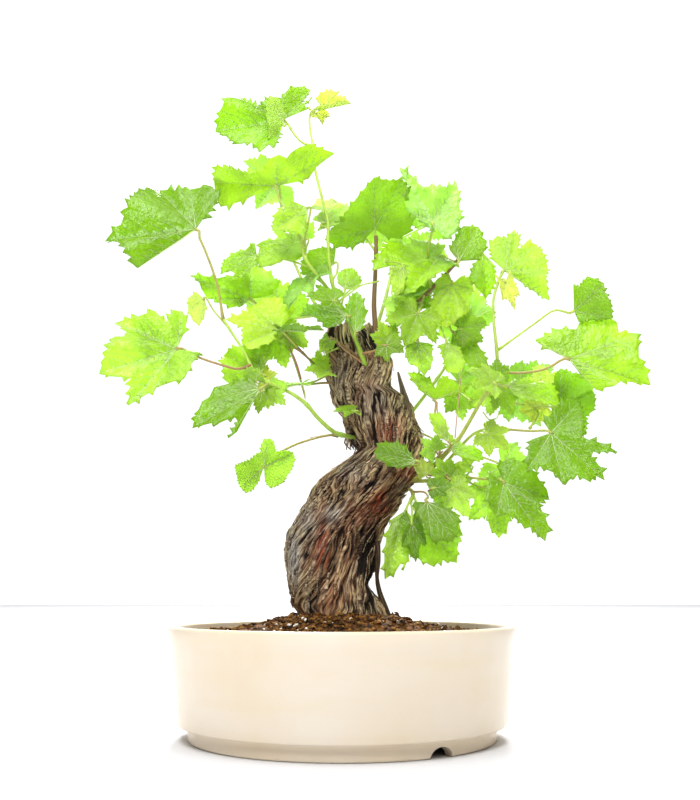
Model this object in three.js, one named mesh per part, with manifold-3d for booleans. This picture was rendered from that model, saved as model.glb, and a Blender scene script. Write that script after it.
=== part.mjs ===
// A grapevine bonsai: an old twisted vine trunk in a round glazed pot of soil, with leafy shoots.
// Millimetres, +Z up. The viewer stands at -Y. The pot's axis is the origin of all the work below,
// and the whole plant is shifted at the end so that the middle of its box stands over the origin.
import * as THREE from "three";
import { mergeVertices } from "three/addons/utils/BufferGeometryUtils.js";
import Module from "manifold-3d";

const wasm = await Module();
wasm.setup();

// Driving sizes in millimetres
const GAP = 0.3; // between pieces that touch
const POT_HEIGHT = 75;
const RIM_RADIUS = 120;
const WALL_FOOT_RADIUS = 112.6; // outside of the wall just above its step
const FOOT_RADIUS = 105;
const FOOT_HEIGHT = 10.5;
const WALL = 6.5;
const FLOOR_LOW = 8; // underside of the pot's floor
const FLOOR_TOP = 15;
const ARCH_WIDTH = 18; // drainage arch in the foot ring
const ARCH_HEIGHT = 6.5;
const ARCH_ANGLE = 35; // degrees to the right of the front
const DRAIN_RADIUS = 10;
const DRAIN_OFFSET = 42;
const SCREEN_RADIUS = 15;
const SCREEN_THICK = 1.2;
const SCREEN_HOLE = 2.4;
const SCREEN_PITCH = 7.5; // from the middle hole to the six round it
const SOIL_EDGE = 68; // height of the soil at the wall
const SOIL_MOUND = 19; // further height at the trunk
const SOIL_SPREAD = 58;
const TRUNK_FOOT = 42; // height of the stump's lower end, down in the soil
const BLADE = 0.9; // leaf thickness along its own normal, over 0.6 across a folded half

// How places on the plant are written: column, row and depth.
// Column and row are picture elements of a view from the front, and depth is y in millimetres.
const VIEW = {
  distance: 700,
  height: 99,
  tilt: THREE.MathUtils.degToRad(11.05),
  focal: 973,
  axisColumn: 342,
  middleRow: 400,
};

// The point seen at a column and row of the front view, at a depth of y millimetres.
function seen([column, row, y]) {
  const side = column - VIEW.axisColumn;
  const up = VIEW.middleRow - row;
  const away = VIEW.focal * Math.cos(VIEW.tilt) - up * Math.sin(VIEW.tilt);
  const rise = VIEW.focal * Math.sin(VIEW.tilt) + up * Math.cos(VIEW.tilt);
  const reach = (y + VIEW.distance) / away;
  return new THREE.Vector3(side * reach, y, VIEW.height + rise * reach);
}

// Colours, roughness and metalness
const GLAZE = new THREE.MeshStandardMaterial({ color: 0xf3e6cf, roughness: 0.22, metalness: 0 });
const SOIL = new THREE.MeshStandardMaterial({ color: 0x3a2618, roughness: 0.95, metalness: 0 });
const MESH = new THREE.MeshStandardMaterial({ color: 0x222422, roughness: 0.6, metalness: 0 });
const BARK = new THREE.MeshStandardMaterial({ color: 0x6b5442, roughness: 0.9, metalness: 0 });
const LEAF = new THREE.MeshStandardMaterial({ color: 0x8ccf3c, roughness: 0.45, metalness: 0 });
const YOUNG = new THREE.MeshStandardMaterial({ color: 0xb4e03c, roughness: 0.45, metalness: 0 });

// Solids

// A closed geometry as a solid, without the triangles that collapse when its seams are merged.
function solidOf(geometry) {
  const bare = geometry.clone();
  bare.deleteAttribute("normal");
  bare.deleteAttribute("uv");
  const merged = mergeVertices(bare, 1e-4);
  const vertProperties = new Float32Array(merged.attributes.position.array);
  const corners = [];
  for (let i = 0; i < merged.index.count; i += 3) {
    const [a, b, c] = [0, 1, 2].map((k) => merged.index.getX(i + k));
    if (a !== b && b !== c && c !== a) corners.push(a, b, c);
  }
  const triVerts = new Uint32Array(corners);
  return new wasm.Manifold(new wasm.Mesh({ numProp: 3, vertProperties, triVerts }));
}

function geometryOf(solid) {
  const mesh = solid.getMesh();
  const stride = mesh.numProp;
  const positions = new Float32Array(mesh.numVert * 3);
  for (let i = 0; i < mesh.numVert; i++) {
    positions.set(mesh.vertProperties.subarray(i * stride, i * stride + 3), i * 3);
  }
  const geometry = new THREE.BufferGeometry();
  geometry.setAttribute("position", new THREE.BufferAttribute(positions, 3));
  geometry.setIndex(new THREE.BufferAttribute(new Uint32Array(mesh.triVerts), 1));
  geometry.computeVertexNormals();
  return geometry;
}

// A closed geometry from points and triangles.
function surface(points, triangles) {
  const geometry = new THREE.BufferGeometry();
  const flat = new Float32Array(points.length * 3);
  points.forEach((p, i) => p.toArray(flat, i * 3));
  geometry.setAttribute("position", new THREE.BufferAttribute(flat, 3));
  geometry.setIndex(triangles.flat());
  return geometry;
}

// Rings of equal size joined side to side, with a flat or pointed end at both.
function skin(rings, lowMiddle, highMiddle) {
  const count = rings[0].length;
  const points = rings.flat();
  const triangles = [];
  for (let r = 0; r + 1 < rings.length; r++) {
    for (let i = 0; i < count; i++) {
      const a = r * count + i;
      const b = r * count + ((i + 1) % count);
      triangles.push([a, b, b + count], [a, b + count, a + count]);
    }
  }
  const last = (rings.length - 1) * count;
  points.push(lowMiddle, highMiddle);
  const low = points.length - 2;
  const high = points.length - 1;
  for (let i = 0; i < count; i++) {
    const next = (i + 1) % count;
    triangles.push([low, next, i], [high, last + i, last + next]);
  }
  return surface(points, triangles);
}

// A stem along picked places, thick at its first end and thinner at its last.
function stem(places, thick, thin, sides, steps) {
  const points = places.map((place) => (place.isVector3 ? place : seen(place)));
  const curve = new THREE.CatmullRomCurve3(points, false, "centripetal");
  const { normals, binormals } = curve.computeFrenetFrames(steps, false);
  const rings = [];
  for (let k = 0; k <= steps; k++) {
    const middle = curve.getPointAt(k / steps);
    const radius = thick + ((thin - thick) * k) / steps;
    const ring = [];
    for (let i = 0; i < sides; i++) {
      const turn = (2 * Math.PI * i) / sides;
      const offset = normals[k].clone().multiplyScalar(Math.cos(turn) * radius);
      offset.addScaledVector(binormals[k], Math.sin(turn) * radius);
      ring.push(middle.clone().add(offset));
    }
    rings.push(ring);
  }
  return solidOf(skin(rings, curve.getPointAt(0), curve.getPointAt(1)));
}

// Leaves
// Half outlines: degrees from the midrib and distance from the heart, where the tip is at 1.
const HALF_OUTLINE = {
  L: [
    [12, 0.84], [27, 0.58], [38, 0.74], [49, 0.88], [60, 0.66],
    [70, 0.72], [84, 0.5], [100, 0.66], [124, 0.54], [158, 0.3],
  ],
  M: [
    [14, 0.8], [28, 0.56], [39, 0.74], [50, 0.86], [66, 0.6],
    [84, 0.5], [106, 0.66], [148, 0.36],
  ],
  S: [[22, 0.6], [48, 0.82], [78, 0.52], [118, 0.58]],
};
// A row of places inside the outline of a large leaf, which lets its lobes bend.
const HALF_INNER = { L: [[32, 0.36], [64, 0.36], [116, 0.26]], M: [], S: [] };
const INNER_SHARE = 0.62; // its greatest share of the way out to the edge
const LAST_ANGLE = 158; // of a large half outline
const MIDRIB_PLACE = 0.45; // of that row on the midrib
const HUB = 0.2; // place on the midrib where the triangles of a blade meet
const WAVE = 0.03; // height of the waves in a blade, as a share of its length
const WAVES = 3.1;
const STALK = { L: 0.95, M: 0.85, S: 0.75 }; // half width of a stalk
const STALK_LEAD = 2; // straight run of the stalk behind the heart
const STALK_THIN = 0.8; // factor on its half width at the blade
const STALK_THICK = 1.2; // and at the shoot

// A place of the inner row, drawn in where the outline of that half is nearer to the heart
function innerPick([degrees, distance], half) {
  const last = half[half.length - 1];
  const angle = degrees * Math.min(1, last[0] / LAST_ANGLE);
  const picks = [[0, 1], ...half];
  const after = Math.max(1, picks.findIndex((pick) => pick[0] >= angle));
  const [a, b] = [picks[after - 1], picks[after]];
  const share = (angle - a[0]) / Math.max(1e-6, b[0] - a[0]);
  return [angle, Math.min(distance, INNER_SHARE * THREE.MathUtils.lerp(a[1], b[1], share))];
}

// One leaf with its stalk as one closed skin. heart is where the stalk joins the blade, tip gives
// column, row and how much deeper than the heart it lies, and face is the way its upper side
// looks: degrees round from the front and degrees up. bend holds the fold of its left and right
// half in degrees and its droop, wide the width of both halves, and path the places of the stalk
// from the shoot to near the heart. Where a leaf has an outline of its own, places are the
// columns and rows round it, which are cast along the line of sight onto the blade's plane.
function leaf([, size, heart, tip, face, bend, wide, path, places]) {
  const from = seen(heart);
  const to = seen([tip[0], tip[1], heart[2] + tip[2]]);
  const length = from.distanceTo(to);
  const along = to.clone().sub(from).normalize();
  const turn = THREE.MathUtils.degToRad(face[0]);
  const lift = THREE.MathUtils.degToRad(face[1]);
  const look = new THREE.Vector3(
    Math.sin(turn) * Math.cos(lift),
    -Math.cos(turn) * Math.cos(lift),
    Math.sin(lift),
  );
  const normal = look.addScaledVector(along, -look.dot(along)).normalize();
  const right = new THREE.Vector3().crossVectors(along, normal);

  // Half outlines, the left one first
  const halves = [HALF_OUTLINE[size], HALF_OUTLINE[size]];
  if (places) {
    const cast = places.map((place) => {
      const near = seen([...place, heart[2]]);
      const sight = seen([...place, heart[2] + 1]).sub(near);
      const reach = normal.dot(from.clone().sub(near)) / normal.dot(sight);
      const spot = near.addScaledVector(sight, reach).sub(from).divideScalar(length);
      return [spot.dot(right), spot.dot(along)];
    });
    [-1, 1].forEach((side, half) => {
      halves[half] = cast
        .filter(([x]) => x * side > 0)
        .map(([x, y]) => [THREE.MathUtils.radToDeg(Math.atan2(x * side, y)), Math.hypot(x, y)])
        .sort((a, b) => a[0] - b[0]);
    });
  }

  // side is 1 for the right half and -1 for the left
  function place([degrees, distance], side, level) {
    const angle = THREE.MathUtils.degToRad(degrees);
    const half = side > 0 ? 1 : 0;
    const fold = THREE.MathUtils.degToRad(bend[half]);
    const out = Math.sin(angle) * distance * length * wide[half];
    const wave = WAVE * length * distance * Math.sin(WAVES * angle * side + heart[0]);
    const height = Math.sin(fold) * out - bend[2] * length * distance * distance + wave;
    return from
      .clone()
      .addScaledVector(along, Math.cos(angle) * distance * length)
      .addScaledVector(right, side * out * Math.cos(fold))
      .addScaledVector(normal, height + level);
  }

  // The edge runs from the heart round the right half to the tip and back by the left half.
  const halfWidth = STALK[size];
  const heartPlace = [90, halfWidth / length];
  const edge = [
    [heartPlace, 1],
    ...halves[1].map((pick) => [pick, 1]).reverse(),
    [[0, 1], 1],
    ...halves[0].map((pick) => [pick, -1]),
    [heartPlace, -1],
  ];
  const innerOf = (half, side) =>
    HALF_INNER[size].map((pick) => [innerPick(pick, half), side]);
  const inner = HALF_INNER[size].length
    ? [...innerOf(halves[1], 1).reverse(), [[0, MIDRIB_PLACE], 1], ...innerOf(halves[0], -1)]
    : [];
  const picks = [...edge, ...inner, [[0, HUB], 1]];
  const count = picks.length;
  const hub = count - 1;
  const lastEdge = edge.length - 1;
  const faces = [[hub, lastEdge, 0]];
  if (!inner.length) {
    for (let i = 0; i < lastEdge; i++) faces.push([hub, i, i + 1]);
  } else {
    const first = edge.length;
    const last = first + inner.length - 1;
    for (let i = first; i < last; i++) faces.push([hub, i, i + 1]);
    faces.push([hub, 0, first], [hub, last, lastEdge]);
    const turnOf = ([pick, side]) => -pick[0] * side;
    let a = 0;
    let b = 0;
    while (a + 1 < inner.length || b + 1 < edge.length) {
      const nextInner = a + 1 < inner.length ? turnOf(inner[a + 1]) : Infinity;
      const edgeEnds = b + 1 === lastEdge;
      const nextEdge = b + 1 < edge.length && !edgeEnds ? turnOf(edge[b + 1]) : Infinity;
      if (b === 0 || nextEdge <= nextInner || (edgeEnds && a + 1 === inner.length)) {
        faces.push([first + a, b, b + 1]);
        b += 1;
      } else {
        faces.push([first + a, b, first + a + 1]);
        a += 1;
      }
    }
  }
  const points = [BLADE / 2, -BLADE / 2].flatMap((level) =>
    picks.map(([pick, side]) => place(pick, side, level)),
  );
  const triangles = faces.flatMap(([a, b, c]) => [[a, b, c], [a + count, c + count, b + count]]);
  for (let i = 0; i < lastEdge; i++) {
    triangles.push([i, i + count, i + 1 + count], [i, i + 1 + count, i + 1]);
  }

  // The stalk starts at the short edge between the two heart places and runs back to the shoot.
  const lead = from.clone().addScaledVector(along, -STALK_LEAD);
  const route = [from, lead, ...path.map(seen).reverse()];
  let ring = [0, lastEdge, lastEdge + count, count];
  let facing = along.clone().negate();
  const across = right.clone();
  for (let k = 1; k < route.length; k++) {
    const before = route[k].clone().sub(route[k - 1]).normalize();
    const after = k + 1 < route.length ? route[k + 1].clone().sub(route[k]).normalize() : before;
    const next = before.clone().add(after).normalize();
    across.applyQuaternion(new THREE.Quaternion().setFromUnitVectors(facing, next));
    facing = next;
    const other = new THREE.Vector3().crossVectors(across, facing).normalize();
    const grow = THREE.MathUtils.lerp(STALK_THIN, STALK_THICK, k / route.length);
    const corners = [[1, 1], [-1, 1], [-1, -1], [1, -1]].map(([u, v]) =>
      route[k]
        .clone()
        .addScaledVector(across, u * halfWidth * grow)
        .addScaledVector(other, -v * halfWidth * grow),
    );
    const start = points.length;
    points.push(...corners);
    for (let i = 0; i < 4; i++) {
      const j = (i + 1) % 4;
      triangles.push([ring[i], ring[j], start + j], [ring[i], start + j, start + i]);
    }
    ring = [start, start + 1, start + 2, start + 3];
  }
  triangles.push([ring[0], ring[1], ring[2]], [ring[0], ring[2], ring[3]]);
  return solidOf(surface(points, triangles));
}

// The plant
// Each stem is its places, its radius at both ends, its sides and its steps.
// Each leaf is: its tone and place in words, its size, heart, tip, face, bend, wide and stalk path,
// and for a leaf with an outline of its own the places round it.
const SHOOTS = [
  {
    name: "shoot_leader",
    stems: [
      [[[366, 372, -10], [364, 362, -24], [355, 338, -30], [347, 316, -34], [338, 303, -36],
        [331, 276, -38], [328, 241, -38], [328, 222, -38], [322, 198, -37], [315, 168, -35],
        [313, 146, -32], [310, 128, -30], [310, 115, -30], [314, 110, -30],
        [320, 109, -30]], 2.0, 0.7, 5, 16],
      [[[338, 303, -36], [325, 285, -38], [304, 256, -42], [301, 236, -42]], 1, 0.9, 4, 5],
      [[[338, 303, -36], [350, 290, -34], [362, 285, -30], [379, 281, -24]], 0.6, 0.5, 4, 4],
    ],
    leaves: [
      ["lit crown left", "L", [282, 121, -18], [215, 128, -6], [0, 20], [0, 0, 0.05], [1, 1],
        [[313, 146, -32], [303, 143, -30], [292, 131, -24]],
        [[222, 117], [228, 109], [238, 96], [249, 104], [262, 109], [272, 95], [281, 100], [285, 112],
         [226, 136], [238, 146], [252, 144], [261, 150], [269, 146], [274, 151], [279, 133]]],
      ["deep crown back", "M", [284, 119, 2], [311, 90, 8], [0, 10], [0, 0, 0.05], [1, 1],
        [[291, 129, -23], [287, 123, -12]],
        [[281, 102], [288, 94], [300, 89], [313, 99], [310, 108], [300, 109], [291, 114]]],
      ["young crown tip", "S", [323, 109, -34], [351, 103, -6], [0, 35], [30, 30, 0], [0.9, 0.9],
        [[317, 109, -30]]],
      ["young crown bud", "S", [316, 113, -26], [323, 125, -4], [20, 20], [20, 20, 0], [1, 1],
        [[312, 112, -30]]],
      ["mid wide fan", "L", [276, 186, -45], [278, 155, -14], [0, 40], [0, 0, 0.05], [1, 1],
        [[301, 240, -42], [292, 222, -43], [283, 207, -44]],
        [[271, 158], [267, 169], [254, 174], [240, 170], [229, 164], [220, 165], [210, 183],
         [217, 198], [225, 205], [238, 202], [251, 197], [288, 158], [293, 152], [301, 147],
         [311, 144], [323, 150], [331, 155], [323, 161], [315, 168], [310, 178], [300, 181]]],
      ["lit fork upper", "M", [308, 208, -50], [272, 230, -8], [0, 15], [0, 0, 0.05], [1, 1],
        [[303, 247, -42], [308, 224, -46]],
        [[276, 217], [285, 207], [296, 204], [288, 234], [300, 232], [307, 224]]],
      ["mid fork lower", "M", [306, 239, -28], [258, 253, -12], [0, 25], [0, 0, 0.05], [1, 1],
        [[306, 259, -41], [306, 249, -34]],
        [[262, 242], [275, 238], [290, 233], [301, 232], [261, 265], [272, 265], [284, 260],
         [297, 261], [306, 255]]],
      ["lit fork left", "M", [257, 256, -30], [220, 272, -6], [0, 20], [0, 0, 0.05], [1, 1],
        [[313, 268, -40], [287, 260, -33]],
        [[226, 258], [235, 254], [245, 250], [255, 246], [231, 273], [240, 277], [250, 269],
         [259, 263]]],
      ["deep fork right", "M", [334, 263, -20], [303, 275, 4], [0, 5], [0, 0, 0.05], [1, 1],
        [[332, 280, -37], [337, 272, -27]],
        [[301, 267], [305, 256], [313, 250], [326, 248], [336, 250], [316, 276], [327, 271]]],
      ["lit node left", "M", [334, 301, -48], [306, 296, -8], [0, 25], [0, 0, 0.05], [1, 1],
        [[338, 303, -36]]],
      ["lit node right", "M", [345, 289, -28], [348, 267, 4], [10, 10], [0, 0, 0.05], [1, 1],
        [[341, 307, -36]],
        [[338, 274], [339, 284], [358, 274], [361, 283], [353, 290]]],
      ["deep node drop", "M", [355, 332, -42], [357, 290, 2], [0, 10], [0, 0, 0.05], [1, 1],
        [[352, 328, -32]],
        [[349, 300], [345, 313], [349, 324], [364, 303], [366, 315], [361, 330]]],
      ["deep over top", "M", [347, 316, -56], [300, 315, -8], [0, 30], [0, 0, 0.05], [1, 1],
        [[348, 318, -34]],
        [[310, 309], [324, 306], [336, 308], [344, 311], [310, 321], [328, 327], [342, 323]]],
      ["deep edge left", "M", [311, 279, -34], [285, 306, -8], [0, 80], [0, 0, 0.1], [1, 1],
        [[325, 285, -38]]],
      ["young face left", "S", [330, 340, -32], [322, 352, -2], [0, 0], [0, 0, 0], [0.8, 0.8],
        [[364, 364, -23], [345, 350, -30]]],
      ["lit right bud", "M", [386, 346, -46], [404, 352, -6], [0, 20], [0, 0, 0.05], [1.2, 1.2],
        [[361, 354, -27], [376, 350, -38]]],
    ],
  },
  {
    name: "cane_upright",
    stems: [
      [[[371, 354, 0], [375, 332, -8], [374, 305, -10], [375, 280, -12], [376, 255, -14],
        [376, 236, -15]], 2.2, 1.2, 5, 6],
      [[[375, 335, -7], [386, 329, 2], [402, 317, 9], [420, 300, 8], [440, 280, 2], [455, 264, -4],
        [460, 256, -6]], 1.5, 1, 4, 7],
    ],
    leaves: [
      ["deep crown middle", "L", [375, 229, -16], [374, 180, -30], [0, 10], [0, 0, 0.05], [1, 1],
        [[376, 238, -15]],
        [[366, 187], [358, 194], [349, 204], [340, 217], [331, 228], [326, 243], [340, 245],
         [355, 243], [366, 236], [388, 180], [402, 180], [410, 192], [404, 201], [412, 222],
         [408, 232], [396, 238], [385, 236]]],
      ["pale crown behind", "M", [352, 215, 8], [310, 206, 4], [0, 55], [0, 0, 0.05], [1, 1],
        [[376, 252, -14], [362, 232, -6]]],
      ["blue fold right", "L", [432, 222, -32], [400, 165, 8], [0, 10], [0, 0, 0.03], [1, 1],
        [[431, 289, 5], [428, 256, -12], [430, 240, -24]],
        [[408, 173], [417, 184], [423, 190], [435, 192], [446, 191], [457, 184], [459, 205],
         [460, 222], [457, 233], [445, 240], [436, 232], [400, 171], [409, 186], [404, 201],
         [406, 209], [414, 215]]],
      ["blue hand", "L", [440, 256, -8], [373, 265, -20], [0, 30], [0, 0, 0.06], [1, 1],
        [[455, 262, -4], [448, 259, -7]],
        [[380, 254], [390, 244], [405, 246], [418, 242], [427, 241], [434, 245], [446, 246],
         [393, 263], [409, 270], [407, 290], [417, 287], [426, 282], [436, 275], [448, 273],
         [457, 268]]],
      ["lit curl", "S", [402, 268, -40], [396, 297, -4], [0, 0], [10, 10, 0], [1, 1],
        [[376, 262, -14], [392, 262, -26]],
        [[404, 290], [405, 279], [410, 274], [391, 290], [393, 276], [390, 267]]],
      ["lit upper right", "M", [459, 261, -32], [479, 226, 4], [10, 0], [0, 0, 0.05], [1, 1],
        [[455, 264, -4]],
        [[470, 226], [463, 226], [456, 237], [450, 250], [482, 238], [486, 242], [484, 252],
         [474, 261]]],
      ["mid right drop", "M", [482, 252, 4], [488, 297, -8], [20, 10], [0, 0, 0.05], [1, 1],
        [[460, 257, -6]],
        [[492, 262], [495, 280], [476, 262], [470, 276], [475, 290], [482, 295]]],
      ["lit broad right", "L", [452, 284, -6], [446, 328, -4], [0, 5], [0, 0, 0.05], [1, 1],
        [[440, 280, 2]],
        [[436, 324], [430, 314], [432, 302], [435, 290], [437, 280], [446, 275], [456, 322],
         [470, 310], [467, 300], [473, 289], [472, 282], [461, 277]]],
      ["deep behind right", "M", [408, 297, 16], [437, 283, 4], [0, 0], [0, 0, 0.05], [1, 1],
        [[403, 318, 10]]],
      ["blue low middle", "M", [420, 304, -10], [384, 301, -8], [0, 15], [0, 0, 0.05], [1, 1],
        [[416, 303, 8], [417, 308, -3]],
        [[395, 296], [408, 298], [386, 313], [391, 328], [400, 324], [411, 316]]],
      ["lit low middle", "M", [418, 314, -28], [405, 346, -6], [10, 5], [0, 0, 0.05], [1.1, 1.1],
        [[424, 296, 7], [421, 306, -14]]],
      ["deep right point", "M", [461, 329, -4], [487, 321, 4], [0, 0], [0, 0, 0.05], [1, 1],
        [[447, 272, -1], [458, 300, 1]]],
      ["deep right low", "M", [453, 332, 4], [489, 366, -4], [0, 0], [0, 0, 0.05], [1, 1],
        [[435, 285, 4], [448, 312, 8]],
        [[461, 328], [473, 338], [481, 350], [470, 368], [462, 364], [459, 350], [451, 341]]],
      ["lit hanging one", "M", [418, 342, -28], [425, 375, -4], [10, 5], [0, 0, 0.05], [1, 1],
        [[410, 309, 9], [419, 328, -8]],
        [[431, 343], [432, 355], [430, 367], [407, 343], [405, 354], [409, 362], [417, 368]]],
      ["lit hanging two", "M", [447, 343, -14], [457, 373, -4], [0, 5], [0, 0, 0.05], [1, 1],
        [[428, 292, 6], [438, 320, 2]],
        [[457, 347], [465, 360], [463, 369], [438, 345], [441, 352], [444, 361], [446, 371]]],
    ],
  },
  {
    name: "shoot_right",
    stems: [
      [[[408, 481, 0], [420, 477, -10], [436, 464, -18], [447, 452, -24], [458, 440, -28],
        [480, 403, -35], [489, 389, -38], [497, 380, -40], [497, 355, -42], [493, 304, -40],
        [498, 283, -38], [504, 269, -38]], 1.7, 0.8, 5, 16],
      [[[424, 474, -12], [438, 470, -16], [460, 447, -22], [475, 433, -26], [490, 429, -32],
        [506, 429, -38]], 1.2, 0.9, 4, 6],
      [[[412, 482, -2], [430, 480, -14], [448, 476, -22], [467, 477, -30]], 1.2, 0.9, 4, 4],
    ],
    leaves: [
      ["lit far top", "L", [505, 271, -38], [548, 268, -10], [0, 15], [0, 0, 0.05], [1, 1],
        [[502, 273, -38]],
        [[543, 255], [536, 243], [527, 243], [515, 258], [520, 240], [513, 228], [507, 237],
         [497, 238], [490, 247], [494, 262], [546, 281], [548, 297], [536, 291], [523, 283]]],
      ["young far bud", "S", [505, 282, -52], [515, 311, -2], [0, 0], [20, 20, 0], [0.5, 0.5],
        [[498, 283, -38]]],
      ["deep far upper", "M", [574, 311, -55], [604, 283, -10], [0, 10], [0, 0, 0.05], [1, 1],
        [[498, 350, -42], [520, 334, -48], [538, 321, -52], [555, 310, -55]],
        [[594, 279], [588, 277], [580, 287], [573, 285], [605, 293], [611, 303], [612, 318],
         [594, 320], [579, 322]]],
      ["lit far right", "L", [569, 359, -60], [652, 382, -10], [0, 12], [0, 0, 0.05], [1, 1],
        [[498, 372, -41], [520, 373, -48], [545, 369, -56]],
        [[638, 360], [637, 349], [638, 333], [619, 333], [616, 323], [608, 318], [590, 318],
         [580, 322], [576, 330], [560, 331], [536, 341], [549, 349], [633, 382], [620, 384],
         [613, 389], [596, 388], [590, 382], [580, 373]]],
      ["young behind one", "M", [545, 392, -8], [537, 364, 6], [0, 0], [0, 0, 0.05], [1, 1],
        [[492, 386, -39], [522, 394, -16]]],
      ["deep broad low", "L", [561, 405, -24], [593, 390, 4], [0, 0], [0, 0, 0.05], [1, 1],
        [[487, 392, -37], [518, 404, -22]],
        [[590, 383], [578, 377], [570, 375], [561, 368], [553, 380], [551, 393], [593, 403],
         [590, 413], [584, 417], [587, 434], [580, 436], [569, 424]]],
      ["mid long blade", "M", [508, 387, -38], [560, 400, -6], [0, 30], [0, 0, 0.05], [1, 1],
        [[489, 389, -38], [498, 385, -40]],
        [[550, 387], [537, 381], [523, 380], [511, 382], [555, 406], [540, 403], [521, 399],
         [511, 394]]],
      ["lit low far", "L", [551, 433, -56], [606, 477, -14], [0, 20], [0, 0, 0.05], [1, 1],
        [[503, 429, -37], [530, 431, -48]],
        [[600, 466], [590, 457], [585, 452], [616, 455], [603, 448], [588, 443], [581, 440],
         [582, 418], [580, 400], [568, 398], [560, 404], [552, 414], [543, 422], [597, 474],
         [588, 482], [577, 476], [563, 482], [553, 473], [540, 467], [527, 471], [527, 457],
         [531, 441]]],
      ["deep low hang", "L", [504, 483, -44], [546, 540, -12], [0, 15], [0, 0, 0.05], [1, 1],
        [[464, 477, -29], [485, 479, -38]],
        [[547, 527], [541, 515], [537, 505], [549, 497], [547, 489], [540, 481], [533, 472],
         [521, 463], [509, 460], [497, 466], [490, 471], [530, 528], [524, 530], [514, 513],
         [505, 515], [497, 515], [490, 508], [486, 497], [489, 484]]],
      ["young low behind", "M", [497, 494, -28], [499, 538, -4], [0, 0], [0, 0, 0.05], [1, 1],
        [[456, 476, -25], [478, 486, -28]]],
      ["mid low small", "M", [487, 434, -42], [509, 449, -4], [0, 0], [0, 0, 0.05], [1, 1],
        [[486, 430, -30]]],
      ["mid behind left", "M", [495, 389, -16], [468, 405, 6], [0, 0], [0, 0, 0.05], [1, 1],
        [[484, 397, -36]]],
      ["deep node small", "S", [497, 377, -50], [497, 357, -2], [0, 0], [0, 0, 0.05], [1, 1],
        [[497, 366, -41]]],
      ["lit cross left", "M", [494, 383, -61], [467, 369, -4], [0, 35], [0, 0, 0.05], [1, 1],
        [[494, 383, -40]]],
      ["mid pointing up", "M", [434, 400, -22], [408, 372, -6], [0, 20], [0, 0, 0.03], [1, 1],
        [[441, 459, -21], [437, 430, -20], [435, 412, -21]],
        [[421, 375], [431, 382], [435, 389], [437, 382], [443, 377], [453, 381], [458, 386],
         [471, 385], [461, 393], [449, 397], [414, 383], [422, 392]]],
      ["lit stub up", "M", [449, 442, -38], [429, 413, -4], [0, 10], [0, 0, 0.05], [1, 1],
        [[447, 452, -24]],
        [[441, 415], [447, 423], [448, 431], [455, 443], [432, 425], [435, 433], [443, 439]]],
      ["lit stub right", "M", [451, 448, -32], [484, 459, -4], [0, 20], [0, 0, 0.05], [1, 1],
        [[456, 442, -27]],
        [[479, 451], [466, 445], [456, 443], [475, 462], [461, 457], [453, 453]]],
      ["mid tangle one", "S", [436, 452, -26], [421, 438, -4], [0, 0], [0, 0, 0.05], [1, 1],
        [[437, 463, -18]]],
      ["lit tangle", "S", [452, 476, -20], [460, 461, -4], [0, 0], [0, 0, 0.05], [1, 1],
        [[450, 476, -23]]],
      ["mid tangle low", "M", [450, 480, -31], [468, 498, -4], [0, 0], [0, 0, 0.05], [1, 1],
        [[442, 477, -19]]],
      ["lit tangle drop", "M", [452, 489, -37], [469, 517, -4], [0, 0], [0, 0, 0.05], [0.9, 0.9],
        [[456, 476, -25]]],
      ["lit tangle end", "S", [440, 492, 2], [452, 507, -2], [0, 0], [0, 0, 0.05], [1, 1],
        [[424, 481, -10]]],
    ],
  },
  {
    name: "shoot_low",
    young: true,
    stems: [
      [[[402, 487, 2], [412, 491, -10], [413, 496, -14], [410, 502, -17]], 1.3, 0.9, 5, 4],
    ],
    leaves: [
      ["young low left", "L", [406, 510, -25], [385, 579, -8], [0, 0], [0, 0, 0.03], [1, 1],
        [[411, 499, -16]],
        [[384, 563], [385, 546], [388, 530], [394, 518], [396, 571], [404, 571], [404, 557],
         [410, 547], [413, 531], [411, 517]]],
      ["young low right", "L", [416, 511, -18], [457, 563, -6], [0, 0], [0, 0, 0.03], [1, 1],
        [[413, 495, -13], [416, 502, -15]],
        [[443, 560], [432, 567], [420, 561], [409, 552], [407, 538], [408, 522], [457, 550],
         [461, 530], [455, 513], [440, 504]]],
      ["deep low fold", "M", [412, 524, -34], [416, 562, -2], [0, 0], [0, 0, 0.05], [0.5, 0.5],
        [[411, 502, -17], [412, 512, -31]]],
      ["deep low front", "M", [427, 502, -44], [453, 541, -6], [0, 5], [0, 0, 0.05], [1, 1],
        [[412, 492, -11], [424, 492, -22], [428, 498, -38]],
        [[444, 541], [432, 541], [424, 525], [416, 513], [414, 502], [458, 528], [459, 517],
         [447, 508], [437, 503]]],
    ],
  },
  {
    name: "leaf_trunk_face",
    stems: [],
    leaves: [
      ["blue trunk face", "M", [416, 461, -36], [374, 452, -4], [0, 20], [0, 0, 0.05], [1, 1],
        [[404, 466, -6], [419, 464, -30]],
        [[380, 445], [390, 442], [400, 444], [407, 450], [412, 456], [380, 461], [391, 466],
         [405, 467], [412, 465]]],
    ],
  },
  {
    name: "leaf_trunk_left",
    stems: [],
    leaves: [
      ["lit trunk left", "S", [354, 411, -30], [333, 412, -2], [0, 55], [0, 0, 0], [1, 1],
        [[364, 413, -6], [358, 411, -25]]],
    ],
  },
  {
    name: "shoot_bud_left",
    stems: [
      [[[338, 375, -2], [328, 372, -12], [320, 369, -18], [308, 358, -22], [298, 348, -28],
        [284, 334, -33]], 1.5, 0.9, 4, 6],
    ],
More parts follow.
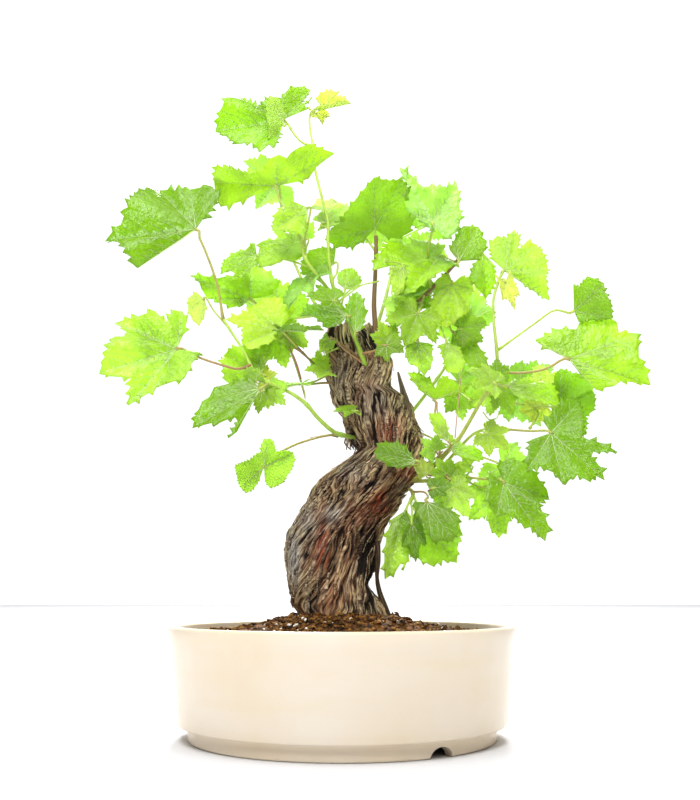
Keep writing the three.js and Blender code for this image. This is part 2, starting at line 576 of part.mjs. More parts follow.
    leaves: [
      ["lit wide left", "L", [280, 330, -34], [226, 317, -8], [0, 20], [0, 0, 0.05], [1, 1],
        [[286, 336, -33]],
        [[237, 315], [246, 313], [253, 305], [266, 300], [283, 303], [291, 306], [292, 316],
         [232, 325], [242, 330], [243, 344], [250, 352], [260, 348], [270, 345], [276, 337]]],
      ["deep thin right", "M", [286, 330, -38], [324, 327, -4], [0, 70], [0, 0, 0.05], [0.5, 0.5],
        [[297, 347, -29]]],
      ["mid small low", "M", [288, 332, -27], [308, 347, 4], [0, 10], [0, 0, 0.05], [1, 1],
        [[292, 342, -31]]],
      ["mid lower left", "M", [277, 335, -20], [253, 367, -4], [0, 10], [0, 0, 0.05], [1, 1],
        [[303, 353, -25], [288, 343, -21]]],
      ["lit bud leaf", "S", [328, 371, -30], [304, 371, -4], [0, 50], [0, 0, 0], [1, 1],
        [[325, 371, -14]]],
      ["pale edge blade", "M", [300, 384, -24], [262, 388, -8], [0, 78], [0, 0, 0.05], [0.6, 0.6],
        [[331, 373, -9], [318, 380, -16], [307, 384, -22]]],
    ],
  },
  {
    name: "shoot_left",
    stems: [
      [[[358, 438, -4], [346, 436, -16], [334, 432, -24], [318, 418, -32], [305, 403, -38],
        [287, 391, -43], [270, 384, -46], [257, 376, -48], [243, 350, -50], [232, 333, -52],
        [223, 319, -53]], 2.2, 1.2, 5, 11],
    ],
    leaves: [
      ["deep far left", "L", [196, 229, -66], [105, 241, -8], [0, 25], [0, 0, 0.04], [1, 1],
        [[223, 319, -53], [217, 284, -56], [205, 250, -62], [199, 236, -65]],
        [[119, 232], [129, 219], [139, 203], [150, 194], [159, 186], [175, 192], [190, 188],
         [211, 190], [221, 199], [213, 210], [203, 221], [115, 247], [123, 251], [136, 265],
         [145, 255], [156, 246], [173, 235]]],
      ["lit far left", "L", [177, 349, -60], [99, 372, -16], [0, 10], [0, 0, 0.05], [1, 1],
        [[251, 365, -49], [238, 369, -50], [225, 366, -52], [198, 357, -56]],
        [[115, 340], [133, 338], [116, 321], [138, 318], [155, 315], [168, 322], [170, 329],
         [173, 312], [182, 311], [187, 322], [183, 336], [112, 377], [132, 378], [129, 403],
         [141, 397], [156, 389], [166, 386], [184, 383], [190, 370], [200, 353]]],
      ["young left bud", "S", [204, 299, -50], [199, 326, -2], [0, 0], [0, 0, 0], [1, 1],
        [[229, 328, -52], [214, 311, -50]],
        [[192, 319], [188, 310], [190, 297], [197, 293], [205, 316], [206, 305]]],
      ["deep left inner", "M", [261, 373, -38], [223, 353, 8], [0, 10], [0, 0, 0.05], [1, 1],
        [[261, 379, -47]],
        [[224, 368], [227, 382], [240, 387], [251, 383], [238, 349], [252, 347], [270, 348],
         [268, 361]]],
      ["mid left low", "L", [260, 389, -62], [192, 427, -12], [0, 25], [0, 0, 0.05], [1, 1],
        [[268, 383, -46]],
        [[199, 411], [202, 402], [209, 395], [214, 387], [225, 385], [240, 379], [252, 380],
         [204, 428], [221, 427], [229, 438], [237, 431], [242, 416], [250, 404]]],
      ["young left one", "S", [260, 378, -28], [278, 373, -2], [0, 0], [0, 0, 0.05], [1, 1],
        [[265, 382, -46]]],
      ["mid left drop", "S", [262, 391, -50], [258, 414, -2], [0, 0], [0, 0, 0.05], [1, 1],
        [[266, 382, -46]]],
      ["deep left upper", "L", [250, 299, -12], [190, 272, -8], [0, 25], [0, 0, 0.05], [1, 1],
        [[307, 405, -37], [304, 392, -8], [288, 345, -2], [268, 316, -5]],
        [[203, 274], [217, 279], [232, 279], [244, 275], [251, 266], [262, 271], [270, 280],
         [276, 292], [266, 299], [198, 285], [201, 291], [208, 297], [220, 305], [232, 307],
         [242, 307]]],
      ["lit low lone", "L", [264, 467, -38], [268, 439, -6], [0, 10], [0, 0, 0.03], [1, 1],
        [[341, 434, -20], [324, 436, -24], [292, 446, -34], [276, 456, -36]],
        [[275, 441], [276, 451], [287, 450], [293, 453], [295, 461], [289, 473], [283, 482],
         [270, 487], [265, 479], [263, 440], [261, 451], [250, 460], [236, 465], [238, 478],
         [240, 488], [248, 492], [255, 487], [260, 478]]],
    ],
  },
  {
    name: "shoot_back_left",
    stems: [
      [[[346, 362, 2], [338, 340, 26], [322, 315, 44], [305, 285, 60], [290, 250, 72],
        [280, 200, 74]], 1.8, 0.8, 4, 7],
    ],
    leaves: [
      ["mid back one", "L", [285, 318, 58], [245, 300, 12], [180, 25], [0, 0, 0.05], [1, 1],
        [[322, 315, 44], [300, 318, 52]]],
      ["mid back two", "M", [300, 240, 76], [272, 226, 6], [180, 20], [0, 0, 0.05], [1, 1],
        [[292, 254, 71]]],
      ["lit back three", "L", [276, 184, 76], [232, 184, 8], [180, 60], [0, 0, 0.08], [1, 1],
        [[280, 200, 74]]],
    ],
  },
  {
    name: "shoot_back_right",
    stems: [
      [[[388, 440, 2], [402, 424, 30], [425, 395, 50], [450, 360, 66], [470, 325, 78]], 1.8, 0.9, 5, 7],
    ],
    leaves: [
      ["lit back five", "L", [468, 322, 78], [440, 290, 8], [180, 15], [0, 0, 0.05], [1, 1],
        [[468, 329, 77]]],
      ["mid back six", "M", [458, 382, 62], [492, 392, 6], [180, 25], [0, 0, 0.05], [1, 1],
        [[437, 378, 58]]],
      ["deep back seven", "L", [520, 392, 74], [566, 398, 8], [180, 25], [0, 0, 0.05], [1, 1],
        [[450, 360, 66], [490, 378, 70]]],
      ["lit back eight", "M", [502, 466, 60], [532, 496, 8], [180, 20], [0, 0, 0.05], [1, 1],
        [[402, 424, 30], [450, 446, 46]]],
    ],
  },
  {
    name: "shoot_back_up",
    stems: [
      [[[368, 360, 4], [376, 330, 30], [385, 300, 46], [392, 270, 58], [398, 240, 64]], 1.8, 0.9, 5, 7],
    ],
    leaves: [
      ["lit back ten", "L", [405, 262, 66], [448, 256, 8], [180, 45], [0, 0, 0.05], [1, 1],
        [[393, 266, 59]]],
      ["mid back eleven", "L", [392, 226, 66], [362, 200, 8], [180, 20], [0, 0, 0.05], [1, 1],
        [[398, 240, 64]]],
      ["lit back thirteen", "M", [430, 222, 70], [444, 192, 6], [180, 10], [0, 0, 0.05], [1, 1],
        [[398, 240, 64], [414, 232, 66]]],
    ],
  },
];

// Trunk
// Rows of the front view with the left and right edge of the trunk there, from the soil up.
const TRUNK_EDGES = [
  [618, 299, 389], [600, 293, 382], [580, 289, 378], [560, 286, 379], [545, 287, 381],
  [532, 291, 384], [520, 298, 390], [510, 302, 399], [500, 307, 405], [490, 312, 411],
  [480, 318, 416], [470, 330, 418], [460, 345, 419], [448, 358, 419], [440, 352, 419],
  [430, 346, 417], [420, 342, 414], [410, 337, 410], [400, 332, 407], [390, 328, 392],
  [380, 326, 391], [370, 327, 390], [357, 325, 385], [345, 324, 380], [332, 327, 373],
];
const TRUNK_SIDES = 32;
const TRUNK_LEVELS = 21;
const TRUNK_DEEP = 28; // half depth, front to back, at the soil
const TRUNK_THINNING = 11; // what it loses of that up to the top
const TRUNK_LEAN = 4; // how far the trunk sways forwards and back
const BURIED = 12; // depth under the soil line where the stump's plain foot begins
const PLATES = 8; // bark plates round the trunk, with a groove between each two
const GROOVE = 2.6;
const TWIST = 0.011; // radians that the bark turns for each millimetre of height
const DENT = 6; // depth of the rotten dent on the front right of the top
const DENT_HEIGHT = 26;
const CROWN_DIP = 5; // hollow in the broken top
// The splinter that stands up beside the trunk's right shoulder
const SPLINTER = [[404, 424, -6], [406, 404, -8], [402, 386, -9], [399, 371, -9]];
const SPLINTER_THICK = 6;
const SPLINTER_THIN = 0.7;

const trunkRows = TRUNK_EDGES.map(([row, left, right]) => {
  const a = seen([left, row, 0]);
  const b = seen([right, row, 0]);
  return { z: a.z, middle: (a.x + b.x) / 2, half: (b.x - a.x) / 2 };
});
const SOIL_LINE = trunkRows[0].z;
const TRUNK_TOP = trunkRows[trunkRows.length - 1].z;

// Middle and half width of the trunk at a height, smoothly between the rows.
function trunkAt(z) {
  if (z <= SOIL_LINE) return trunkRows[0];
  let k = 0;
  while (k + 2 < trunkRows.length && trunkRows[k + 1].z < z) k += 1;
  const a = trunkRows[k];
  const b = trunkRows[k + 1];
  const share = THREE.MathUtils.smoothstep(z, a.z, b.z);
  return {
    middle: THREE.MathUtils.lerp(a.middle, b.middle, share),
    half: THREE.MathUtils.lerp(a.half, b.half, share),
  };
}

// A point of the bark: plates with grooves between them that follow the twist of the wood,
// slow lumps and the dent. It is plain and smooth down in the soil. grow moves it outwards.
function bark(turn, z, grow) {
  const { middle, half } = trunkAt(z);
  const height = (z - SOIL_LINE) / (TRUNK_TOP - SOIL_LINE);
  const showing = THREE.MathUtils.smoothstep(z, SOIL_LINE - 4, SOIL_LINE + 10);
  const angle = turn + TWIST * (z - SOIL_LINE);
  const plate = Math.abs(Math.sin((PLATES * turn) / 2));
  const groove = -GROOVE * (1 - plate) ** 2 * (1 - 0.35 * height);
  const lump = 1.3 * Math.sin(3 * angle + z / 31) + 1.1 * Math.sin(5 * angle - z / 17);
  const near = Math.max(0, Math.cos(angle + 0.9)) ** 3;
  const dent = -DENT * near * THREE.MathUtils.smoothstep(z, TRUNK_TOP - DENT_HEIGHT, TRUNK_TOP);
  const outward = showing * (groove + lump + dent) + grow;
  const across = half * (0.98 - 0.06 * height);
  const deep = TRUNK_DEEP - TRUNK_THINNING * height;
  const sway = showing * TRUNK_LEAN * Math.sin(5 * height);
  return new THREE.Vector3(
    middle + Math.cos(angle) * (across + outward),
    sway + Math.sin(angle) * (deep + outward),
    z,
  );
}

function trunkSkin(grow) {
  const turns = Array.from({ length: TRUNK_SIDES }, (_, i) => (2 * Math.PI * i) / TRUNK_SIDES);
  const foot = turns.map((turn) => bark(turn, TRUNK_FOOT - grow, grow));
  const rings = [foot];
  for (let k = 1; k <= TRUNK_LEVELS; k++) {
    const level = THREE.MathUtils.lerp(SOIL_LINE - BURIED, TRUNK_TOP, k / TRUNK_LEVELS);
    rings.push(turns.map((turn) => bark(turn, level, grow)));
  }
  rings[TRUNK_LEVELS].forEach((point, i) => {
    point.z += 2.4 * Math.sin(4 * turns[i]) + 1.6 * Math.sin(9 * turns[i]);
  });
  const low = new THREE.Vector3(trunkRows[0].middle, 0, TRUNK_FOOT - grow);
  const high = new THREE.Vector3(trunkAt(TRUNK_TOP).middle, 0, TRUNK_TOP - CROWN_DIP + grow);
  return solidOf(skin(rings, low, high));
}

function trunkSolid(grow) {
  return trunkSkin(grow).add(stem(SPLINTER, SPLINTER_THICK + grow, SPLINTER_THIN + grow, 6, 5));
}

// Pot
const POT_TURNS = 36;
const ROUNDING = 1.2; // of the rim and of the small edges
const CORNER = 6; // of the inside between wall and floor
const INNER_RIM = RIM_RADIUS - WALL;
const INNER_LOW = WALL_FOOT_RADIUS - WALL;
const RING_WIDTH = 8; // of the foot ring
const CUT_LENGTH = 30;

function potSolid() {
  const step = FOOT_RADIUS + 0.6;
  const profile = [
    [0, FLOOR_LOW], [FOOT_RADIUS - RING_WIDTH, FLOOR_LOW], [FOOT_RADIUS - RING_WIDTH + 1, 0],
    [FOOT_RADIUS - ROUNDING, 0], [FOOT_RADIUS, ROUNDING], [step, FOOT_HEIGHT - 0.6],
    [WALL_FOOT_RADIUS - ROUNDING, FOOT_HEIGHT], [WALL_FOOT_RADIUS, FOOT_HEIGHT + ROUNDING],
    [RIM_RADIUS, POT_HEIGHT - ROUNDING], [RIM_RADIUS - ROUNDING, POT_HEIGHT],
    [INNER_RIM + ROUNDING, POT_HEIGHT], [INNER_RIM, POT_HEIGHT - ROUNDING],
    [INNER_LOW, FLOOR_TOP + CORNER], [INNER_LOW - CORNER, FLOOR_TOP], [0, FLOOR_TOP],
  ];
  const points = profile.map(([radius, z]) => new THREE.Vector2(radius, z));
  const body = new THREE.LatheGeometry(points, POT_TURNS).rotateX(Math.PI / 2);
  let pot = solidOf(body);
  for (const turn of [ARCH_ANGLE, ARCH_ANGLE + 180]) pot = pot.subtract(archSolid(turn));
  for (const side of [-1, 1]) {
    pot = pot.subtract(disc(side, DRAIN_RADIUS, FLOOR_LOW - 1, FLOOR_TOP + 1, 20));
  }
  return pot;
}

// The room of a drainage arch through the foot ring.
function archSolid(degrees) {
  const half = ARCH_WIDTH / 2;
  const arch = new THREE.Shape();
  arch.moveTo(-half, -ARCH_HEIGHT);
  arch.lineTo(half, -ARCH_HEIGHT);
  arch.lineTo(half, 0);
  arch.quadraticCurveTo(half - 1, ARCH_HEIGHT, 0, ARCH_HEIGHT);
  arch.quadraticCurveTo(1 - half, ARCH_HEIGHT, -half, 0);
  const options = { depth: CUT_LENGTH, bevelEnabled: false, curveSegments: 5 };
  const room = new THREE.ExtrudeGeometry(arch, options);
  room.rotateX(Math.PI / 2);
  room.translate(0, CUT_LENGTH / 2 - FOOT_RADIUS, 0);
  room.rotateZ(THREE.MathUtils.degToRad(degrees));
  return solidOf(room);
}

// An upright round solid over the drain hole of one side.
function disc(side, radius, low, high, sides) {
  const round = new THREE.CylinderGeometry(radius, radius, high - low, sides);
  round.rotateX(Math.PI / 2);
  round.translate(side * DRAIN_OFFSET, 0, (low + high) / 2);
  return solidOf(round);
}

// Screens
const SCREEN_SIDES = 16;
const SCREEN_LOW = FLOOR_TOP + GAP;

function polygon(x, y, radius, sides) {
  return Array.from({ length: sides }, (_, i) => {
    const turn = (2 * Math.PI * i) / sides;
    return new THREE.Vector2(x + radius * Math.cos(turn), y + radius * Math.sin(turn));
  });
}

// A perforated disc over a drain hole: one hole in the middle and six round it.
function screenSolid(side) {
  const plate = new THREE.Shape(polygon(0, 0, SCREEN_RADIUS, SCREEN_SIDES));
  const middles = [new THREE.Vector2(0, 0), ...polygon(0, 0, SCREEN_PITCH, 6)];
  for (const { x, y } of middles) plate.holes.push(new THREE.Path(polygon(x, y, SCREEN_HOLE, 5)));
  const screen = new THREE.ExtrudeGeometry(plate, { depth: SCREEN_THICK, bevelEnabled: false });
  screen.translate(side * DRAIN_OFFSET, 0, SCREEN_LOW);
  return solidOf(screen);
}

// Soil
const SOIL_SIDES = 24;
const SOIL_RINGS = [0.97, 0.82, 0.66, 0.52, 0.4, 0.2]; // shares of its radius
const SEAT = 0.7; // room round a screen

// Height of the soil's surface: a mound round the trunk with small clods.
function soilHeight(x, y) {
  const reach = Math.hypot(x - trunkRows[0].middle, y);
  const mound = SOIL_MOUND * Math.exp(-((reach / SOIL_SPREAD) ** 2));
  const clods = 0.9 * Math.sin(x / 6.1 + 1) * Math.cos(y / 5.3) + 0.7 * Math.sin(x / 11 - y / 8);
  return SOIL_EDGE + mound + clods;
}

// Radius of the soil at a height: just inside the middles of the pot wall's flat facets.
function soilRadius(z) {
  const low = FLOOR_TOP + CORNER;
  const share = (z - low) / (POT_HEIGHT - ROUNDING - low);
  const wall = THREE.MathUtils.lerp(INNER_LOW, INNER_RIM, share);
  return wall * Math.cos(Math.PI / POT_TURNS) - GAP;
}

function soilSolid() {
  const ring = (radius, height) =>
    polygon(0, 0, radius, SOIL_SIDES).map(({ x, y }) => new THREE.Vector3(x, y, height(x, y)));
  const low = FLOOR_TOP + GAP;
  const wallLow = low + CORNER;
  const wallHigh = SOIL_EDGE - 2;
  const rings = [
    ring(soilRadius(wallLow) - CORNER, () => low),
    ring(soilRadius(wallLow), () => wallLow),
    ring(soilRadius(wallHigh), () => wallHigh),
    ...SOIL_RINGS.map((share) => ring(share * soilRadius(SOIL_EDGE), soilHeight)),
  ];
  const bottom = new THREE.Vector3(0, 0, low);
  const top = new THREE.Vector3(0, 0, soilHeight(0, 0));
  let soil = solidOf(skin(rings, bottom, top));
  for (const side of [-1, 1]) {
    const seatTop = SCREEN_LOW + SCREEN_THICK + GAP;
    soil = soil.subtract(disc(side, SCREEN_RADIUS + SEAT, low - 1, seatTop, SCREEN_SIDES));
  }
  return soil.subtract(trunkSkin(GAP));
}

// Shoots: each one is fused, then cut clear of the trunk that it grows from.
const trunkRoom = trunkSolid(GAP);

function shootSolid({ name, stems, leaves }) {
  const pieces = [...stems.map((one) => stem(...one)), ...leaves.map(leaf)];
  const shoot = pieces.reduce((all, piece) => all.add(piece)).subtract(trunkRoom);
  const bodies = shoot.decompose().length;
  if (bodies !== 1) throw new Error(`${name} is ${bodies} bodies, so a leaf or stem hangs free`);
  return shoot;
}

// The whole bonsai
const bonsai = new THREE.Group();

function place(name, solid, material) {
  const mesh = new THREE.Mesh(geometryOf(solid), material);
  mesh.name = name;
  bonsai.add(mesh);
}

place("pot", potSolid(), GLAZE);
place("drain_screen_left", screenSolid(-1), MESH);
place("drain_screen_right", screenSolid(1), MESH);
place("soil", soilSolid(), SOIL);
place("trunk", trunkSolid(0), BARK);
for (const shoot of SHOOTS) place(shoot.name, shootSolid(shoot), shoot.young ? YOUNG : LEAF);

const middle = new THREE.Box3().setFromObject(bonsai).getCenter(new THREE.Vector3());
bonsai.position.set(-middle.x, -middle.y, 0);

export default bonsai;
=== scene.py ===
"""A grapevine bonsai: an old twisted vine with leafy shoots in a round glazed pot of soil.

Lengths are millimetres about the pot's axis until a piece is made, which turns them to metres in
the row frame. The viewer of the main view stands at -Y.
"""

import math
import random
from collections import namedtuple

import bmesh
import bpy
import numpy as np
from mathutils import Matrix, Vector, geometry, noise


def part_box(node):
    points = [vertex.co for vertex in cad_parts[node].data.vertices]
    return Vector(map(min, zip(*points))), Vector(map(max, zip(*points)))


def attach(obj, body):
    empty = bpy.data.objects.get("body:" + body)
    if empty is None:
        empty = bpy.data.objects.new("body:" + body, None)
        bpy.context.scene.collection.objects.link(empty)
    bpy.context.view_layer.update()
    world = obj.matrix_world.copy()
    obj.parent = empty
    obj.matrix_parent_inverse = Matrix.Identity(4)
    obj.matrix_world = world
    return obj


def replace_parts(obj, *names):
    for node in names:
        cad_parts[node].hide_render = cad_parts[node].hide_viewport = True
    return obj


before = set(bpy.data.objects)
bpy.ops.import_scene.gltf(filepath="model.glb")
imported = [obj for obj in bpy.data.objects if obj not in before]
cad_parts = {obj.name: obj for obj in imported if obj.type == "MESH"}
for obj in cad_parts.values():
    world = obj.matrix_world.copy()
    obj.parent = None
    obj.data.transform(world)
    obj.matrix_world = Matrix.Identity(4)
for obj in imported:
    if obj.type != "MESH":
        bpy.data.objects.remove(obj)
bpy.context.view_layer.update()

POT_LOW, POT_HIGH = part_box("pot")
AXIS = Vector(((POT_LOW.x + POT_HIGH.x) / 2, (POT_LOW.y + POT_HIGH.y) / 2, 0))
MM = 0.001
BODY = "root"

# Sizes of the pot and its soil
POT_HEIGHT = 75
RIM_RADIUS = 120
WALL_FOOT_RADIUS = 112.6
FOOT_RADIUS = 105
FOOT_HEIGHT = 10.5
WALL = 6.5
FLOOR_LOW = 8
FLOOR_TOP = 15
RING_WIDTH = 8
ARCH_WIDTH = 18
ARCH_HEIGHT = 6.5
ARCH_ANGLE = 35
DRAIN_RADIUS = 10
DRAIN_OFFSET = 42
SOIL_EDGE = 68
SOIL_MOUND = 19
SOIL_SPREAD = 58

# Camera
IMAGE_WIDTH = 700
IMAGE_HEIGHT = 800
EYE_DISTANCE = 700
EYE_HEIGHT = 99
EYE_TILT = math.radians(11.05)
FOCAL = 973  # in picture elements
AXIS_COLUMN = 342
SENSOR = 36

camera_data = bpy.data.cameras.new("camera")
camera_data.sensor_fit = "VERTICAL"
camera_data.sensor_height = SENSOR
camera_data.lens = FOCAL * SENSOR / IMAGE_HEIGHT
camera_data.shift_x = (IMAGE_WIDTH / 2 - AXIS_COLUMN) / IMAGE_HEIGHT
camera_data.clip_start = 0.01
camera = bpy.data.objects.new("camera", camera_data)
camera.location = AXIS + Vector((0, -EYE_DISTANCE, EYE_HEIGHT)) * MM
camera.rotation_euler = (math.pi / 2 + EYE_TILT, 0, 0)
bpy.context.scene.collection.objects.link(camera)
bpy.context.scene.camera = camera


def seen(place):
    """The point seen at a column and row of the main view, at a depth of y millimetres."""
    column, row, depth = place
    side = column - AXIS_COLUMN
    up = IMAGE_HEIGHT / 2 - row
    away = FOCAL * math.cos(EYE_TILT) - up * math.sin(EYE_TILT)
    rise = FOCAL * math.sin(EYE_TILT) + up * math.cos(EYE_TILT)
    reach = (depth + EYE_DISTANCE) / away
    return np.array([side * reach, depth, EYE_HEIGHT + rise * reach])


def smoothstep(value, low, high):
    share = np.clip((np.asarray(value, float) - low) / (high - low), 0, 1)
    return share * share * (3 - 2 * share)


# Colours and materials

# Inputs by number: the factor and two colours of a mix, and the ends of the range that a map range
# takes and of the one that it gives
FACTOR, FIRST, SECOND = 0, 6, 7
LOW, HIGH, TO_LOW, TO_HIGH = 1, 2, 3, 4
COLOURS = {"data_type": "RGBA", "out": 2}  # for a mix of two colours


def linear(hex_colour):
    """An sRGB hex colour as linear red, green, blue and a full alpha."""
    parts = [int(hex_colour[i:i + 2], 16) / 255 for i in (1, 3, 5)]
    return [p / 12.92 if p <= 0.04045 else ((p + 0.055) / 1.055) ** 2.4 for p in parts] + [1]


def add(material, kind, inputs=None, out=0, **settings):
    """Adds a node with its settings, sets or links its inputs, and gives one of its outputs, or
    the node itself where it has none."""
    made = material.node_tree.nodes.new("ShaderNode" + kind)
    for key, value in settings.items():
        setattr(made, key, value)
    for key, value in (inputs or {}).items():
        if isinstance(value, bpy.types.NodeSocket):
            material.node_tree.links.new(value, made.inputs[key])
        else:
            made.inputs[key].default_value = linear(value) if isinstance(value, str) else value
    return made.outputs[out] if made.outputs else made


def start_material(name):
    """An empty node material with its output node and the place on the object."""
    material = bpy.data.materials.new(name)
    material.use_nodes = True
    material.node_tree.nodes.clear()
    output = add(material, "OutputMaterial")
    return material, output, add(material, "TexCoord", out="Object")


def finish_material(material, output, shader):
    material.node_tree.links.new(shader, output.inputs["Surface"])
    return material


def glaze_material():
    """Cream glaze over fired stoneware: a glassy skin with soft cloudy patches, warmer where it
    ran thin on the edges and pooled above the foot."""
    m, output, place = start_material("cream_glaze")
    cloud = add(m, "TexNoise", {"Vector": place, "Scale": 16, "Detail": 3})
    brushed = add(m, "Mapping", {"Vector": place, "Scale": (9, 9, 60)})
    run = add(m, "TexNoise", {"Vector": brushed, "Scale": 1, "Detail": 4})
    speck = add(m, "TexNoise", {"Vector": place, "Scale": 900, "Detail": 1})
    edge = add(m, "Attribute", attribute_name="edge", out="Fac")
    cloudy = add(m, "MapRange", {"Value": cloud, LOW: 0.35, HIGH: 0.7})
    body = add(m, "Mix", {FACTOR: cloudy, FIRST: "#E6DBCB", SECOND: "#E2D3BC"}, **COLOURS)
    streaks = add(m, "MapRange", {"Value": run, LOW: 0.5, HIGH: 0.8, TO_HIGH: 0.3})
    streaked = add(m, "Mix", {FACTOR: streaks, FIRST: body, SECOND: "#E1CBA0"}, **COLOURS)
    warm = add(m, "Mix", {FACTOR: edge, FIRST: streaked, SECOND: "#EED4A4"}, **COLOURS)
    dots = add(m, "MapRange", {"Value": speck, LOW: 0.74, HIGH: 0.8, TO_HIGH: 0.22})
    colour = add(m, "Mix", {FACTOR: dots, FIRST: warm, SECOND: "#B08A58"}, **COLOURS)
    ripple = add(m, "TexNoise", {"Vector": place, "Scale": 110, "Detail": 2})
    bump = add(m, "Bump", {"Height": ripple, "Strength": 0.05, "Distance": 0.001})
    rough = add(m, "MapRange", {"Value": cloud, TO_LOW: 0.2, TO_HIGH: 0.3})
    shader = add(m, "BsdfPrincipled", {
        "Base Color": colour, "Roughness": rough, "IOR": 1.42, "Specular IOR Level": 0.35,
        "Coat Weight": 0.05, "Coat Roughness": 0.12, "Specular Tint": "#A08868", "Normal": bump,
    })
    return finish_material(m, output, shader)


def screen_material():
    """Black moulded polypropylene mesh, dusty with soil."""
    m, output, place = start_material("drain_screen_plastic")
    dust = add(m, "TexNoise", {"Vector": place, "Scale": 300, "Detail": 4})
    amount = add(m, "MapRange", {"Value": dust, LOW: 0.45, HIGH: 0.7})
    colour = add(m, "Mix", {FACTOR: amount, FIRST: "#1E201E", SECOND: "#3A2A1C"}, **COLOURS)
    bump = add(m, "Bump", {"Height": dust, "Strength": 0.3, "Distance": 0.0003})
    shader = add(m, "BsdfPrincipled", {"Base Color": colour, "Roughness": 0.6, "Normal": bump})
    return finish_material(m, output, shader)


def soil_material(name, dark, brown, light, grain):
    """Moist peat potting mix with brown fibres and dry crumbs, near black in the hollows of its
    bump: the dark of wet peat and painted shade.
    """
    m, output, place = start_material(name)
    clump = add(m, "TexNoise", {"Vector": place, "Scale": 150, "Detail": 6, "Roughness": 0.7})
    grit = add(m, "TexVoronoi", {"Vector": place, "Scale": grain}, out="Color")
    # Painted shade: the bump uses the same noise, so its low hollows turn near black
    mixed = add(m, "MapRange", {"Value": clump, LOW: 0.4, HIGH: 0.62})
    first = add(m, "Mix", {FACTOR: mixed, FIRST: dark, SECOND: brown}, **COLOURS)
    parts = add(m, "SeparateColor", {"Color": grit})
    dry = add(m, "MapRange", {"Value": parts, LOW: 0.6, HIGH: 1.0, TO_HIGH: 0.75})
    colour = add(m, "Mix", {FACTOR: dry, FIRST: first, SECOND: light}, **COLOURS)
    bump = add(m, "Bump", {"Height": clump, "Strength": 0.7, "Distance": 0.0012})
    shader = add(m, "BsdfPrincipled", {
        "Base Color": colour, "Roughness": 0.9, "Specular IOR Level": 0.2, "Normal": bump,
    })
    return finish_material(m, output, shader)


def perlite_material():
    """Expanded volcanic glass: white, light and full of pores, with soil in them."""
    m, output, place = start_material("perlite_grain")
    pore = add(m, "TexNoise", {"Vector": place, "Scale": 1100, "Detail": 3})
    deep = add(m, "MapRange", {"Value": pore, LOW: 0.3, HIGH: 0.55})
    colour = add(m, "Mix", {FACTOR: deep, FIRST: "#9C8468", SECOND: "#F4EFE6"}, **COLOURS)
    bump = add(m, "Bump", {"Height": pore, "Strength": 0.6, "Distance": 0.0004})
    shader = add(m, "BsdfPrincipled", {"Base Color": colour, "Roughness": 0.85, "Normal": bump})
    return finish_material(m, output, shader)


def bark_material():
    """Old vine bark: shaggy fibres, grey where the weather bleached them, red-brown where a
    plate has peeled, and painted near black in the furrows as their shade."""
    m, output, place = start_material("vine_bark")
    along = add(m, "Attribute", attribute_name="grain_place", out="Vector")
    height = add(m, "Attribute", attribute_name="bark_height", out="Fac")
    red = add(m, "Attribute", attribute_name="bark_red", out="Fac")
    grey = add(m, "Attribute", attribute_name="bark_grey", out="Fac")
    fibre = add(m, "TexNoise", {"Vector": along, "Scale": 1, "Detail": 5, "Roughness": 0.65})
    patch = add(m, "TexNoise", {"Vector": place, "Scale": 45, "Detail": 3})
    mixed = add(m, "MapRange", {"Value": fibre, LOW: 0.42, HIGH: 0.62})
    brown = add(m, "Mix", {FACTOR: mixed, FIRST: "#4A2A18", SECOND: "#E4CC9C"}, **COLOURS)
    patched = add(m, "MapRange", {"Value": patch, LOW: 0.42, HIGH: 0.62, TO_HIGH: 0.6})
    warm = add(m, "Mix", {FACTOR: patched, FIRST: brown, SECOND: "#70462E"}, **COLOURS)
    reddish = add(m, "Mix", {FACTOR: mixed, FIRST: "#541C0A", SECOND: "#A64C26"}, **COLOURS)
    peeled = add(m, "Mix", {FACTOR: red, FIRST: warm, SECOND: reddish}, **COLOURS)
    silver = add(m, "Mix", {FACTOR: mixed, FIRST: "#6E6961", SECOND: "#D2CDC4"}, **COLOURS)
    bleached = add(m, "Mix", {FACTOR: grey, FIRST: peeled, SECOND: silver}, **COLOURS)
    # Painted shade: a low light value, in the furrows and the shaded patches, turns the bark near
    # black, and a high one on the crests shows its own colour
    crest_light = add(m, "MapRange", {"Value": height, LOW: 0.34, HIGH: 0.72})
    colour = add(m, "Mix", {FACTOR: crest_light, FIRST: "#150B06", SECOND: bleached}, **COLOURS)
    bump = add(m, "Bump", {"Height": fibre, "Strength": 0.8, "Distance": 0.0012})
    shader = add(m, "BsdfPrincipled", {
        "Base Color": colour, "Roughness": 0.85, "Specular IOR Level": 0.25, "Normal": bump,
    })
    return finish_material(m, output, shader)


